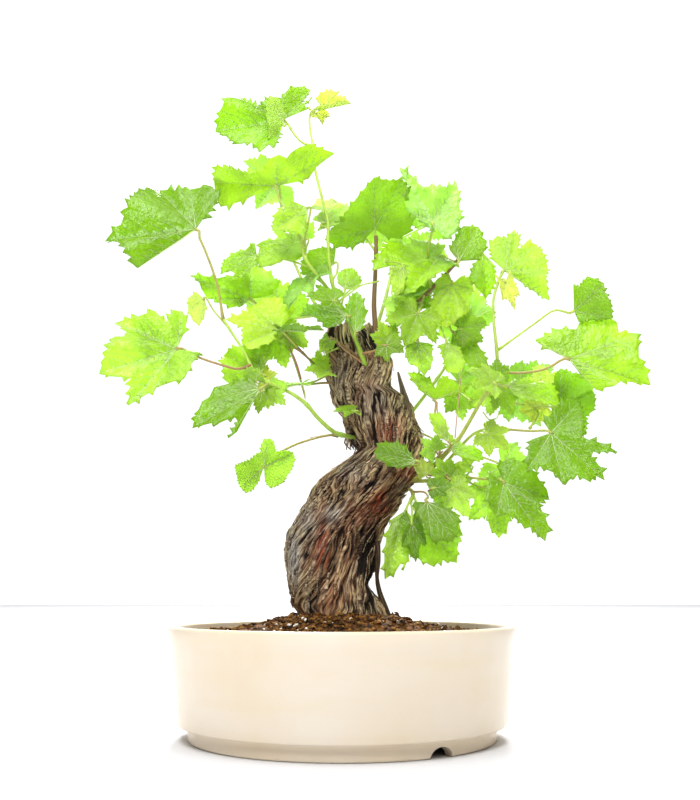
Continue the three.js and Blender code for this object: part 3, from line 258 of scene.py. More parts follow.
def leaf_material():
    """A thin vine leaf: a slightly waxy upper skin, a paler and duller underside, a net of small
    veins, and flesh that lets the light from behind come through yellow-green."""
    m, output, place = start_material("vine_leaf")
    plane = add(m, "UVMap", uv_map="leaf_plane")
    tint = add(m, "Attribute", attribute_name="leaf_tint", out="Color")
    under = add(m, "Attribute", attribute_name="leaf_under", out="Fac")
    vein = add(m, "Attribute", attribute_name="leaf_vein", out="Fac")
    net = add(m, "TexVoronoi", {"Vector": plane, "Scale": 15}, feature="DISTANCE_TO_EDGE",
              voronoi_dimensions="2D")
    line = add(m, "MapRange", {"Value": net, LOW: 0.0, HIGH: 0.09, TO_LOW: 0.18, TO_HIGH: 0})
    # Painted shade: the blade turns darker olive towards its heart, with cloudy blotches of darker
    # green mottling over it
    from_heart = add(m, "VectorMath", {0: plane}, out="Value", operation="LENGTH")
    middle = add(m, "MapRange", {
        "Value": from_heart, LOW: 0.1, HIGH: 0.7, TO_LOW: 0.34, TO_HIGH: 0,
    })
    cloud = add(m, "TexNoise", {"Vector": place, "Scale": 60, "Detail": 4})
    blotch = add(m, "MapRange", {"Value": cloud, LOW: 0.42, HIGH: 0.62, TO_HIGH: 0.4})
    shade_and_mottle = add(m, "Math", {0: middle, 1: blotch}, operation="ADD")
    shade_share = tint.node.outputs["Alpha"]
    shade = add(m, "Math", {0: shade_and_mottle, 1: shade_share}, operation="MULTIPLY")
    upper = add(m, "Mix", {FACTOR: shade, FIRST: tint, SECOND: "#6E9A02"}, **COLOURS)
    netted = add(m, "Mix", {FACTOR: line, FIRST: upper, SECOND: "#DDF08C"}, **COLOURS)
    veined = add(m, "Mix", {FACTOR: vein, FIRST: netted, SECOND: "#F6FFC4"}, **COLOURS)
    pale = add(m, "MapRange", {"Value": under, TO_HIGH: 0.4})
    colour = add(m, "Mix", {FACTOR: pale, FIRST: veined, SECOND: "#A9CF86"}, **COLOURS)
    through = add(m, "Mix", {FACTOR: 0.4, FIRST: veined, SECOND: "#DEFF44"}, **COLOURS)
    pucker = add(m, "TexNoise", {"Vector": plane, "Scale": 15, "Detail": 3})
    bump = add(m, "Bump", {"Height": pucker, "Strength": 0.8, "Distance": 0.0016})
    skin = add(m, "BsdfPrincipled", {
        "Base Color": colour, "Roughness": 0.32, "Specular IOR Level": 0.8,
        "Sheen Weight": 0.03, "Sheen Roughness": 0.4, "Normal": bump,
    })
    flesh = add(m, "BsdfTranslucent", {"Color": through, "Normal": bump})
    return finish_material(m, output, add(m, "MixShader", {0: 0.5, 1: skin, 2: flesh}))


def stem_material():
    """Young vine stems and leaf stalks: juicy green, red-brown on the sunny side or where they
    harden, with fine ribs along them."""
    m, output, place = start_material("green_stem")
    tint = add(m, "Attribute", attribute_name="stem_tint", out="Color")
    blotch = add(m, "TexNoise", {"Vector": place, "Scale": 180, "Detail": 4})
    amount = add(m, "MapRange", {"Value": blotch, LOW: 0.45, HIGH: 0.75, TO_HIGH: 0.4})
    colour = add(m, "Mix", {FACTOR: amount, FIRST: tint, SECOND: "#8C7A3C"}, **COLOURS)
    rib = add(m, "TexNoise", {"Vector": place, "Scale": 700, "Detail": 2})
    bump = add(m, "Bump", {"Height": rib, "Strength": 0.25, "Distance": 0.0003})
    shader = add(m, "BsdfPrincipled", {
        "Base Color": colour, "Roughness": 0.5, "IOR": 1.42, "Subsurface Weight": 0.15,
        "Subsurface Radius": (0.001, 0.0012, 0.0005), "Normal": bump,
    })
    return finish_material(m, output, shader)


def floor_material():
    """Matt white studio paper."""
    m, output, place = start_material("studio_paper")
    fibre = add(m, "TexNoise", {"Vector": place, "Scale": 400, "Detail": 2})
    bump = add(m, "Bump", {"Height": fibre, "Strength": 0.03, "Distance": 0.0005})
    shader = add(m, "BsdfPrincipled", {
        "Base Color": "#DCDDE0", "Roughness": 0.9, "Specular IOR Level": 0.1, "Normal": bump,
    })
    return finish_material(m, output, shader)


GLAZE = glaze_material()
SCREEN = screen_material()
SOIL = soil_material("potting_soil", "#0A0502", "#5A3812", "#9A6830", 420)
CRUMB = soil_material("soil_crumb", "#160A04", "#784C1E", "#C09250", 260)
PERLITE = perlite_material()
BARK = bark_material()
LEAF = leaf_material()
STEM = stem_material()
PAPER = floor_material()

# Making pieces

# Type and field of an attribute by its number of columns
ATTRIBUTE_KINDS = {
    0: ("FLOAT", "value"), 3: ("FLOAT_VECTOR", "vector"), 4: ("FLOAT_COLOR", "color"),
}


def make_piece(name, points, faces, material, attributes=None, plane=None, smooth=True):
    """A mesh object from points in millimetres about the pot's axis, riding on the body."""
    mesh = bpy.data.meshes.new(name)
    metres = np.asarray(points, float) * MM + np.array(AXIS)
    mesh.from_pydata(metres.tolist(), [], faces)
    mesh.polygons.foreach_set("use_smooth", [smooth] * len(mesh.polygons))
    for key, values in (attributes or {}).items():
        values = np.asarray(values, np.float32)
        kind, field = ATTRIBUTE_KINDS[values.shape[1] if values.ndim > 1 else 0]
        made = mesh.attributes.new(key, kind, "POINT")
        made.data.foreach_set(field, values.ravel())
    if plane is not None:
        layer = mesh.uv_layers.new(name="leaf_plane")
        corners = np.zeros(len(mesh.loops), np.int32)
        mesh.loops.foreach_get("vertex_index", corners)
        layer.data.foreach_set("uv", np.asarray(plane, np.float32)[corners].ravel())
    mesh.validate()
    mesh.materials.append(material)
    made = bpy.data.objects.new(name, mesh)
    bpy.context.scene.collection.objects.link(made)
    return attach(made, BODY)


def curve_points(places, steps):
    """Points at equal steps along a centripetal Catmull-Rom curve through the places."""
    knots = [np.asarray(p, float) for p in places]
    if len(knots) == 2:
        return [knots[0] + (knots[1] - knots[0]) * k / steps for k in range(steps + 1)]
    ends = [2 * knots[0] - knots[1], *knots, 2 * knots[-1] - knots[-2]]
    fine = []
    per_span = 12
    for a, b, c, d in zip(ends, ends[1:], ends[2:], ends[3:]):
        gaps = [max(np.linalg.norm(q - p) ** 0.5, 1e-4) for p, q in ((a, b), (b, c), (c, d))]
        start = (b - a) / gaps[0] - (c - a) / (gaps[0] + gaps[1]) + (c - b) / gaps[1]
        end = (c - b) / gaps[1] - (d - b) / (gaps[1] + gaps[2]) + (d - c) / gaps[2]
        start, end = start * gaps[1], end * gaps[1]
        for k in range(per_span):
            t = k / per_span
            fine.append((2 * t**3 - 3 * t**2 + 1) * b + (t**3 - 2 * t**2 + t) * start
                        + (3 * t**2 - 2 * t**3) * c + (t**3 - t**2) * end)
    fine.append(knots[-1])
    fine = np.array(fine)
    run = np.concatenate([[0], np.cumsum(np.linalg.norm(np.diff(fine, axis=0), axis=1))])
    wanted = np.linspace(0, run[-1], steps + 1)
    return list(np.stack([np.interp(wanted, run, fine[:, k]) for k in range(3)], axis=1))


def ring_walls(rings, sides, turned=False):
    """Four-sided faces between rings of points that follow each other in the list of points. They
    are turned over where the rings run the other way round."""
    pairs = [(i, (i + 1) % sides) for i in range(sides)]
    if turned:
        pairs = [(j, i) for i, j in pairs]
    return [(a + i, a + j, a + sides + j, a + sides + i)
            for a in range(0, (rings - 1) * sides, sides) for i, j in pairs]


def tube_faces(rings, sides, turned=False):
    """The walls of a tube with a face over each of its ends."""
    first = tuple(range(sides))
    last = tuple((rings - 1) * sides + i for i in range(sides))
    ends = [first, last[::-1]] if turned else [first[::-1], last]
    return ring_walls(rings, sides, turned) + ends


def tube(line, radii, sides):
    """Points and faces of a closed round tube along a line of points."""
    line = np.asarray(line, float)
    ahead = np.gradient(line, axis=0)
    ahead /= np.maximum(np.linalg.norm(ahead, axis=1), 1e-9)[:, None]
    across = np.cross(ahead[0], [0.3, 0.2, 0.93])
    turns = np.arange(sides) * 2 * math.pi / sides
    points = []
    for k in range(len(line)):
        across = across - ahead[k] * across.dot(ahead[k])
        across = across / max(np.linalg.norm(across), 1e-9)
        other = np.cross(ahead[k], across)
        for turn in turns:
            points.append(line[k] + (across * math.cos(turn) + other * math.sin(turn)) * radii[k])
    return points, tube_faces(len(line), sides)


class Heap:
    """Meshes gathered into one piece, with a value of each attribute for every point."""

    def __init__(self):
        self.points = []
        self.faces = []
        self.values = {}
        self.plane = []

    def put(self, points, faces, plane=(), **values):
        start = len(self.points)
        self.points.extend(np.asarray(points, float).tolist())
        self.faces.extend([tuple(start + i for i in face) for face in faces])
        self.plane.extend(np.asarray(plane, float).tolist())
        for key, value in values.items():
            self.values.setdefault(key, []).extend(np.asarray(value, float).tolist())

    def piece(self, name, material, slot, smooth=True):
        return make_piece(name, self.points, self.faces, material, self.values,
                          self.plane or None, smooth)


# Leaves

# A leaf's label starts with its tone: its green, painted lighter or darker for the light or the
# shade that falls on that leaf. Its heart is where the blade meets the stalk, as a column,
# row and depth, and the depth of its tip counts from there. Its face is the bearing and the lift
# that the upper side looks to, its path is the stalk, its outline is the places round it, where it
# has one of its own, its bend is the fold of the left and of the right half in degrees and the
# droop of the tip, and its wide is the widening of the two halves.
Leaf = namedtuple("Leaf", "label size heart tip face path outline bend wide",
                  defaults=((), (0, 0, 0.05), (1, 1)))
Blade = namedtuple("Blade", "start length along right normal halves veins")

# Half outlines: degrees from the midrib and distance from the heart, where the tip is at 1
HALF_OUTLINE = {
    "L": [[12, 0.84], [27, 0.58], [38, 0.74], [49, 0.88], [60, 0.66],
          [70, 0.72], [84, 0.5], [100, 0.66], [124, 0.54], [158, 0.3]],
    "M": [[14, 0.8], [28, 0.56], [39, 0.74], [50, 0.86], [66, 0.6],
          [84, 0.5], [106, 0.66], [148, 0.36]],
    "S": [[22, 0.6], [48, 0.82], [78, 0.52], [118, 0.58]],
}
TOOTH_PITCH = {"L": 0.1, "M": 0.12, "S": 0.17}
TOOTH_HEIGHT = {"L": 0.06, "M": 0.068, "S": 0.08}
TOOTH_SPREAD = (0.6, 1.3)  # factor on that height
TOOTH_LEAN = 0.3  # of its base, towards the tip of the lobe
BULGE = 0.02  # of the edge between two corners, as a share of its length
NET_PITCH = {"L": 0.052, "M": 0.075, "S": 0.12}
ROW_SHARE = 0.87  # of the pitch, between two rows of the net
MAIN_VEINS = {"L": [49, 102], "M": [50, 106], "S": [48, 112]}  # degrees from the midrib
LOBE_ANGLE = 24  # least angle between two main veins of a leaf with an outline of its own
SIDE_VEINS = {"L": [0.2, 0.36, 0.52, 0.67, 0.81], "M": [0.25, 0.45, 0.65, 0.82], "S": [0.4, 0.7]}
SIDE_VEIN_ANGLE = 0.78  # radians from the vein that it leaves
MAIN_VEIN_PALE = 1  # share of the pale vein colour over the blade's own
SIDE_VEIN_PALE = 0.6
VEIN_MARGIN = 1.07  # a side vein ends where this much farther out is off the blade
THICKNESS = 0.36
WAVE = 0.03  # height, as a share of the leaf's length like the next ones
WAVES = 3.1
VALLEY = 0.014  # depth along a main vein
VALLEY_REACH = 0.035
PUFF = 0.012  # of the flesh between two side veins
PUFF_PITCH = 0.155
RUFFLE = 0.022  # of the edge
RUFFLES = 13
FOLD_LIFT = 0.2  # of the flesh between two main veins, for each radian and leaf length
STALK = {"L": 0.95, "M": 0.85, "S": 0.7}  # radius
STALK_THIN = 0.86  # share of that radius along the stalk
SWELLING = 1.45  # share of it at both ends
GREEN_STALK = "#B9D65A"
RED_STALK = "#A8655A"
# Leaf greens by tone: lit, sunny, mid, deep and dark are one green painted lighter or darker for
# the light and shade on each leaf, blue also paints a bluish sheen, young is the yellower green of
# new leaves and pale a whitish green
LIT_AND_SHADED_TONES = {
    "lit": "#D4FF54", "deep": "#A0D00C", "mid": "#C4F02E", "young": "#F4FF7C", "blue": "#CEFF80",
    "pale": "#E4FFA8", "sunny": "#DAFF50", "dark": "#84B802",
}
SHADE_SHOWN = {"young": 0.15, "sunny": 0.45}  # share of the painted darkening that a tone of leaf shows, less on young leaves and on sunny ones painted as lit
FAR_OFF = 1e3  # a gap that counts as none


def heading(bearing):
    """The direction in a leaf's plane at a bearing in radians from its midrib."""
    return np.array([math.sin(bearing), math.cos(bearing)])


def toothed_half(size, half, span, dice):
    """One half of a leaf's edge from the tip to the heart, with pointed teeth that lean towards
    the tip of their lobe, as x and y in leaf lengths. span is the farthest reach of the blade."""
    corners = [heading(math.radians(degrees)) * reach for degrees, reach in [[0, 1], *half]]
    out = [corners[0]]
    for a, b in zip(corners, corners[1:]):
        step = b - a
        length = np.linalg.norm(step)
        outward = np.array([-step[1], step[0]]) / length
        lean = 1 if np.linalg.norm(a) > np.linalg.norm(b) else -1
        teeth = max(1, round(length / (TOOTH_PITCH[size] * span)))
        for k in range(teeth):
            height = TOOTH_HEIGHT[size] * span * dice.uniform(*TOOTH_SPREAD)
            low = k / teeth
            high = (k + 1) / teeth
            height *= 0.4 + 0.75 * ((low + high) / 2 if lean > 0 else 1 - (low + high) / 2)
            peak = (low + high) / 2 - lean * TOOTH_LEAN / teeth
            bulge = BULGE * length * math.sin(math.pi * peak)
            tip = a + step * peak + outward * (height + bulge)
            flank_at = (peak + (high if lean > 0 else low)) / 2
            flank = a + step * flank_at + outward * (height * 0.4 + bulge)
            if teeth > 1 and not (k == 0 and lean > 0):
                out.extend([tip, flank] if lean > 0 else [flank, tip])
            notch = a + step * high + outward * (BULGE * length * math.sin(math.pi * high))
            if k == teeth - 1 and lean < 0:
                notch = b + outward * 0.01
            out.append(notch)
    return out


def cast_outline(places, depth, start, length, along, right, normal):
    """The left and the right half outline of a leaf whose edge is given by the columns and rows
    round it, cast along the line of sight onto the plane of the blade."""
    halves = ([], [])
    for place in places:
        near = seen([*place, depth])
        sight = seen([*place, depth + 1]) - near
        reach = normal.dot(start - near) / normal.dot(sight)
        spot = (near + sight * reach - start) / length
        x, y = spot.dot(right), spot.dot(along)
        halves[int(x > 0)].append([math.degrees(math.atan2(abs(x), y)), math.hypot(x, y)])
    return [sorted(half) for half in halves]


def leaf_span(halves):
    """The farthest reach of a blade from its heart, in leaf lengths."""
    return max([1.0, *[distance for half in halves for _, distance in half]])


def lobe_bearings(half):
    """The angles of the side lobes of a half outline, the two farthest ones at most."""
    reach = [1.0, *[distance for _, distance in half], 0.0]
    lobes = [half[k] for k in range(len(half)) if reach[k] < reach[k + 1] >= reach[k + 2]]
    chosen = []
    for degrees, _ in sorted(lobes or half, key=lambda pick: -pick[1]):
        if degrees > LOBE_ANGLE and all(abs(degrees - c) > LOBE_ANGLE for c in chosen):
            chosen.append(degrees)
    return chosen[:2]


def leaf_blade(leaf):
    """Where a leaf's blade lies, its two half outlines and the bearings of its main veins."""
    start = seen(leaf.heart)
    end = seen([leaf.tip[0], leaf.tip[1], leaf.heart[2] + leaf.tip[2]])
    length = np.linalg.norm(end - start)
    along = (end - start) / length
    turn, lift = (math.radians(angle) for angle in leaf.face)
    look = np.array([
        math.sin(turn) * math.cos(lift), -math.cos(turn) * math.cos(lift), math.sin(lift),
    ])
    normal = look - along * look.dot(along)
    normal /= np.linalg.norm(normal)
    right = np.cross(along, normal)
    if leaf.outline:
        halves = cast_outline(leaf.outline, leaf.heart[2], start, length, along, right, normal)
        lobes = [lobe_bearings(half) for half in halves]
    else:
        halves = [HALF_OUTLINE[leaf.size]] * 2
        lobes = [MAIN_VEINS[leaf.size]] * 2
    veins = [0, *[-v for v in lobes[0]], *lobes[1]]
    return Blade(start, length, along, right, normal, halves, veins)


def blade_surface(leaf, blade, spots, shift, lift=0.0):
    """Points of the leaf's middle surface, raised by lift, for spots in its plane."""
    length = blade.length
    spots = np.asarray(spots, float)
    x, y = spots[:, 0], spots[:, 1]
    distance = np.hypot(x, y)
    angle = np.abs(np.arctan2(x, y))
    side = np.where(x >= 0, 1.0, -1.0)
    wide = np.where(x >= 0, leaf.wide[1], leaf.wide[0])
    fold = np.radians(np.where(x >= 0, leaf.bend[1], leaf.bend[0]))
    out = np.abs(x) * length * wide
    wave = WAVE * length * distance * np.sin(WAVES * angle * side + leaf.heart[0])
    height = np.sin(fold) * out - leaf.bend[2] * length * distance**2 + wave
    # Valleys along the main veins, puffed flesh between the side veins and a ruffled edge
    degrees = np.degrees(angle) * side
    near = np.full(len(x), FAR_OFF)
    along_vein = distance.copy()
    for vein in blade.veins:
        away = np.radians(degrees - vein)
        gap = np.where(np.abs(away) < 1.2, np.abs(np.sin(away)) * distance, FAR_OFF)
        along_vein = np.where(gap < near, np.cos(away) * distance, along_vein)
        near = np.minimum(near, gap)
    valley = -VALLEY * np.exp(-(near / VALLEY_REACH) ** 2) * smoothstep(distance, 0.02, 0.2)
    puff = PUFF * np.sin((along_vein - near * 0.95) * 2 * math.pi / PUFF_PITCH)
    puff *= smoothstep(near, 0.02, 0.1) * smoothstep(distance, 0.1, 0.35)
    fan = np.array([-180, *sorted(blade.veins), 180])
    sector = np.clip(np.searchsorted(fan, degrees) - 1, 0, len(fan) - 2)
    wide_sector = fan[sector + 1] - fan[sector]
    share = (degrees - fan[sector]) / wide_sector
    crown = FOLD_LIFT * (1 + 0.6 * np.sin(5 * fan[sector] + leaf.heart[1]))
    crown = crown * np.radians(np.minimum(wide_sector, 70)) * distance * np.sin(math.pi * share)
    span = leaf_span(blade.halves)
    ruffle = RUFFLE * span * (distance / span)**3 * np.sin(RUFFLES * angle * side + shift)
    height = height + (valley + puff + ruffle + crown) * length
    return (blade.start + blade.along * (y * length)[:, None]
            + blade.right * (side * out * np.cos(fold))[:, None]
            + blade.normal * (height + lift)[:, None])


def inside(spots, edge):
    """Which of the spots lie inside a closed outline."""
    x, y = spots[:, 0][:, None], spots[:, 1][:, None]
    x0, y0 = edge[:, 0][None, :], edge[:, 1][None, :]
    x1, y1 = np.roll(edge[:, 0], -1)[None, :], np.roll(edge[:, 1], -1)[None, :]
    spans = (y0 > y) != (y1 > y)
    rise = np.where(y1 == y0, 1e-12, y1 - y0)
    return (spans & (x < (x1 - x0) * (y - y0) / rise + x0)).sum(axis=1) % 2 == 1


def nearest(spots, places):
    """The distance from each spot to the nearest of the places."""
    gaps = spots[:, None, :] - places[None, :, :]
    return np.sqrt((gaps**2).sum(axis=2)).min(axis=1)


def blade_net(pitch, edge, limit, bearings):
    """Spots and triangles of a flat leaf with its edge and its main veins drawn in."""
    spots = list(edge)
    lines = [(i, (i + 1) % len(edge)) for i in range(len(edge))]
    veins = []
    for bearing in bearings:
        ahead = heading(math.radians(bearing))
        far = limit(ahead) * 0.97
        steps = max(3, int(far / pitch))
        for k in range(1, steps + 1):
            spots.append(ahead * far * k / steps)
            veins.append(spots[-1])
            lines.append((0 if k == 1 else len(spots) - 2, len(spots) - 1))
    rows = int(1.1 * np.abs(edge).max() / (pitch * ROW_SHARE)) + 1
    lattice = np.array([[(c + 0.5 * (r % 2)) * pitch, r * pitch * ROW_SHARE]
                        for r in range(-rows, rows + 1) for c in range(-rows, rows + 1)])
    lattice = lattice[inside(lattice, edge)]
    lattice = lattice[nearest(lattice, edge) > pitch * 0.5]
    lattice = lattice[nearest(lattice, np.array(veins)) > pitch * 0.55]
    spots.extend(lattice)
    made = geometry.delaunay_2d_cdt([Vector(s) for s in spots], lines, [], 1, 1e-6)
    flat = np.array([v[:] for v in made[0]])
    triangles = []
    for face in made[2]:
        a, b, c = (flat[i] for i in face)
        if (b - a)[0] * (c - a)[1] - (b - a)[1] * (c - a)[0] < 0:
            face = face[::-1]
        triangles.append(tuple(face))
    return flat, triangles


def leaf_pieces(leaf, blades, stalks, dice):
    """Adds one leaf: its blade and veins to blades and its stalk to stalks."""
    tone, size = leaf.label.split()[0], leaf.size
    blade = leaf_blade(leaf)
    shift = dice.uniform(0, 6.28)
    span = leaf_span(blade.halves)
    right_half = toothed_half(size, blade.halves[1], span, dice)
    left_half = toothed_half(size, blade.halves[0], span, dice)
    edge = np.array([[0.0, 0.0], *reversed(right_half),
                     *[p * np.array([-1, 1]) for p in left_half[1:]]])
    angles = np.arctan2(edge[1:, 0], edge[1:, 1])
    reach = np.hypot(edge[1:, 0], edge[1:, 1])
    order = np.argsort(angles)

    def limit(spot):
        return np.interp(math.atan2(spot[0], spot[1]), angles[order], reach[order], 0, 0)

    spots, triangles = blade_net(NET_PITCH[size] * span, edge, limit, blade.veins)
    top = blade_surface(leaf, blade, spots, shift, THICKNESS / 2)
    bottom = blade_surface(leaf, blade, spots, shift, -THICKNESS / 2)
    per_side = len(spots)
    under = [tuple(per_side + v for v in reversed(face)) for face in triangles]
    sides = {(a, b) for face in triangles for a, b in zip(face, face[1:] + face[:1])}
    strip = [(a, per_side + a, per_side + b, b) for a, b in sides if (b, a) not in sides]
    base = np.array(linear(LIT_AND_SHADED_TONES[tone]))
    shade = dice.uniform(0.86, 1.1)
    yellow = dice.uniform(-0.06, 0.1)
    tint = np.clip(base * [shade * (1 + yellow), shade, shade * (1 - yellow), 1], 0, 1)
    tint[3] = SHADE_SHOWN.get(tone, 1)
    blades.put(np.vstack([top, bottom]), triangles + under + strip, np.vstack([spots, spots]),
               leaf_tint=np.tile(tint, (2 * per_side, 1)),
               leaf_under=np.repeat([0.0, 1.0], per_side), leaf_vein=np.zeros(2 * per_side))
    leaf_veins(leaf, blade, shift, limit, edge, tint, blades)
    leaf_stalk(leaf, blade, stalks, dice)


def vein_line(leaf, blade, shift, line, thick, thin, tint, strength, blades):
    """A vein as a slim ridge that stands a little out of both faces of the blade."""
    line = np.array(line)
    middle = blade_surface(leaf, blade, line, shift)
    count = len(middle)
    across = np.cross(np.gradient(middle, axis=0), blade.normal)
    across /= np.maximum(np.linalg.norm(across, axis=1), 1e-9)[:, None]
    width = np.linspace(thick, thin, count)[:, None]
    top = middle + blade.normal * (THICKNESS / 2 + width * 0.35)
    low = middle - blade.normal * (THICKNESS / 2 + width * 0.9)
    points = np.stack([middle + across * width, top, middle - across * width, low], axis=1)
    blades.put(points.reshape(-1, 3), tube_faces(count, 4), np.repeat(line, 4, axis=0),
               leaf_tint=np.tile(tint, (4 * count, 1)), leaf_under=np.zeros(4 * count),
               leaf_vein=np.full(4 * count, strength))


def leaf_veins(leaf, blade, shift, limit, edge, tint, blades):
    """The main veins and the side veins that branch from them."""
    stride = 0.05 * leaf_span(blade.halves)
    half = STALK[leaf.size]
    bearings = [math.radians(v) for v in blade.veins]
    for bearing in bearings:
        ahead = heading(bearing)
        far = limit(ahead) * 0.96
        line = [ahead * far * k / 8 for k in range(9)]
        vein_line(leaf, blade, shift, line, half * 0.72, 0.2, tint, MAIN_VEIN_PALE, blades)
        for share in SIDE_VEINS[leaf.size]:
            for hand in (1, -1):
                branch = heading(bearing + hand * SIDE_VEIN_ANGLE)
                spot = ahead * far * share
                path = [spot]
                for _ in range(8):
                    branch = branch * 0.9 + ahead * 0.1
                    spot = spot + branch * stride
                    here = math.atan2(spot[0], spot[1])
                    crowded = any(abs(here - b) < 0.1 for b in bearings if b != bearing)
                    if crowded or not inside(np.array([spot * VEIN_MARGIN]), edge)[0]:
                        break
                    path.append(spot)
                if len(path) > 2:
                    vein_line(leaf, blade, shift, path, half * 0.36, 0.13, tint, SIDE_VEIN_PALE,
                              blades)


def leaf_stalk(leaf, blade, stalks, dice):
    """The stalk from the shoot to the heart of the blade, swollen at both ends."""
    start, along = blade.start, blade.along
    line = curve_points([*map(seen, leaf.path), start - along * 2.2, start + along * 0.8], 14)
    share = np.linspace(0, 1, len(line))
    swelling = np.exp(-share * 14) + np.exp(-(1 - share) * 16)
    radii = STALK[leaf.size] * (STALK_THIN + (SWELLING - STALK_THIN) * swelling)
    points, faces = tube(line, radii, 8)
    red = RED_STALKS[leaf.label] if leaf.label in RED_STALKS else dice.uniform(0, 0.35)
    pale, dark = np.array(linear(GREEN_STALK)), np.array(linear(RED_STALK))
    tints = np.repeat([pale + (dark - pale) * red * (1 - 0.3 * s) for s in share], 8, axis=0)
    stalks.put(points, faces, stem_tint=tints)


# The plant

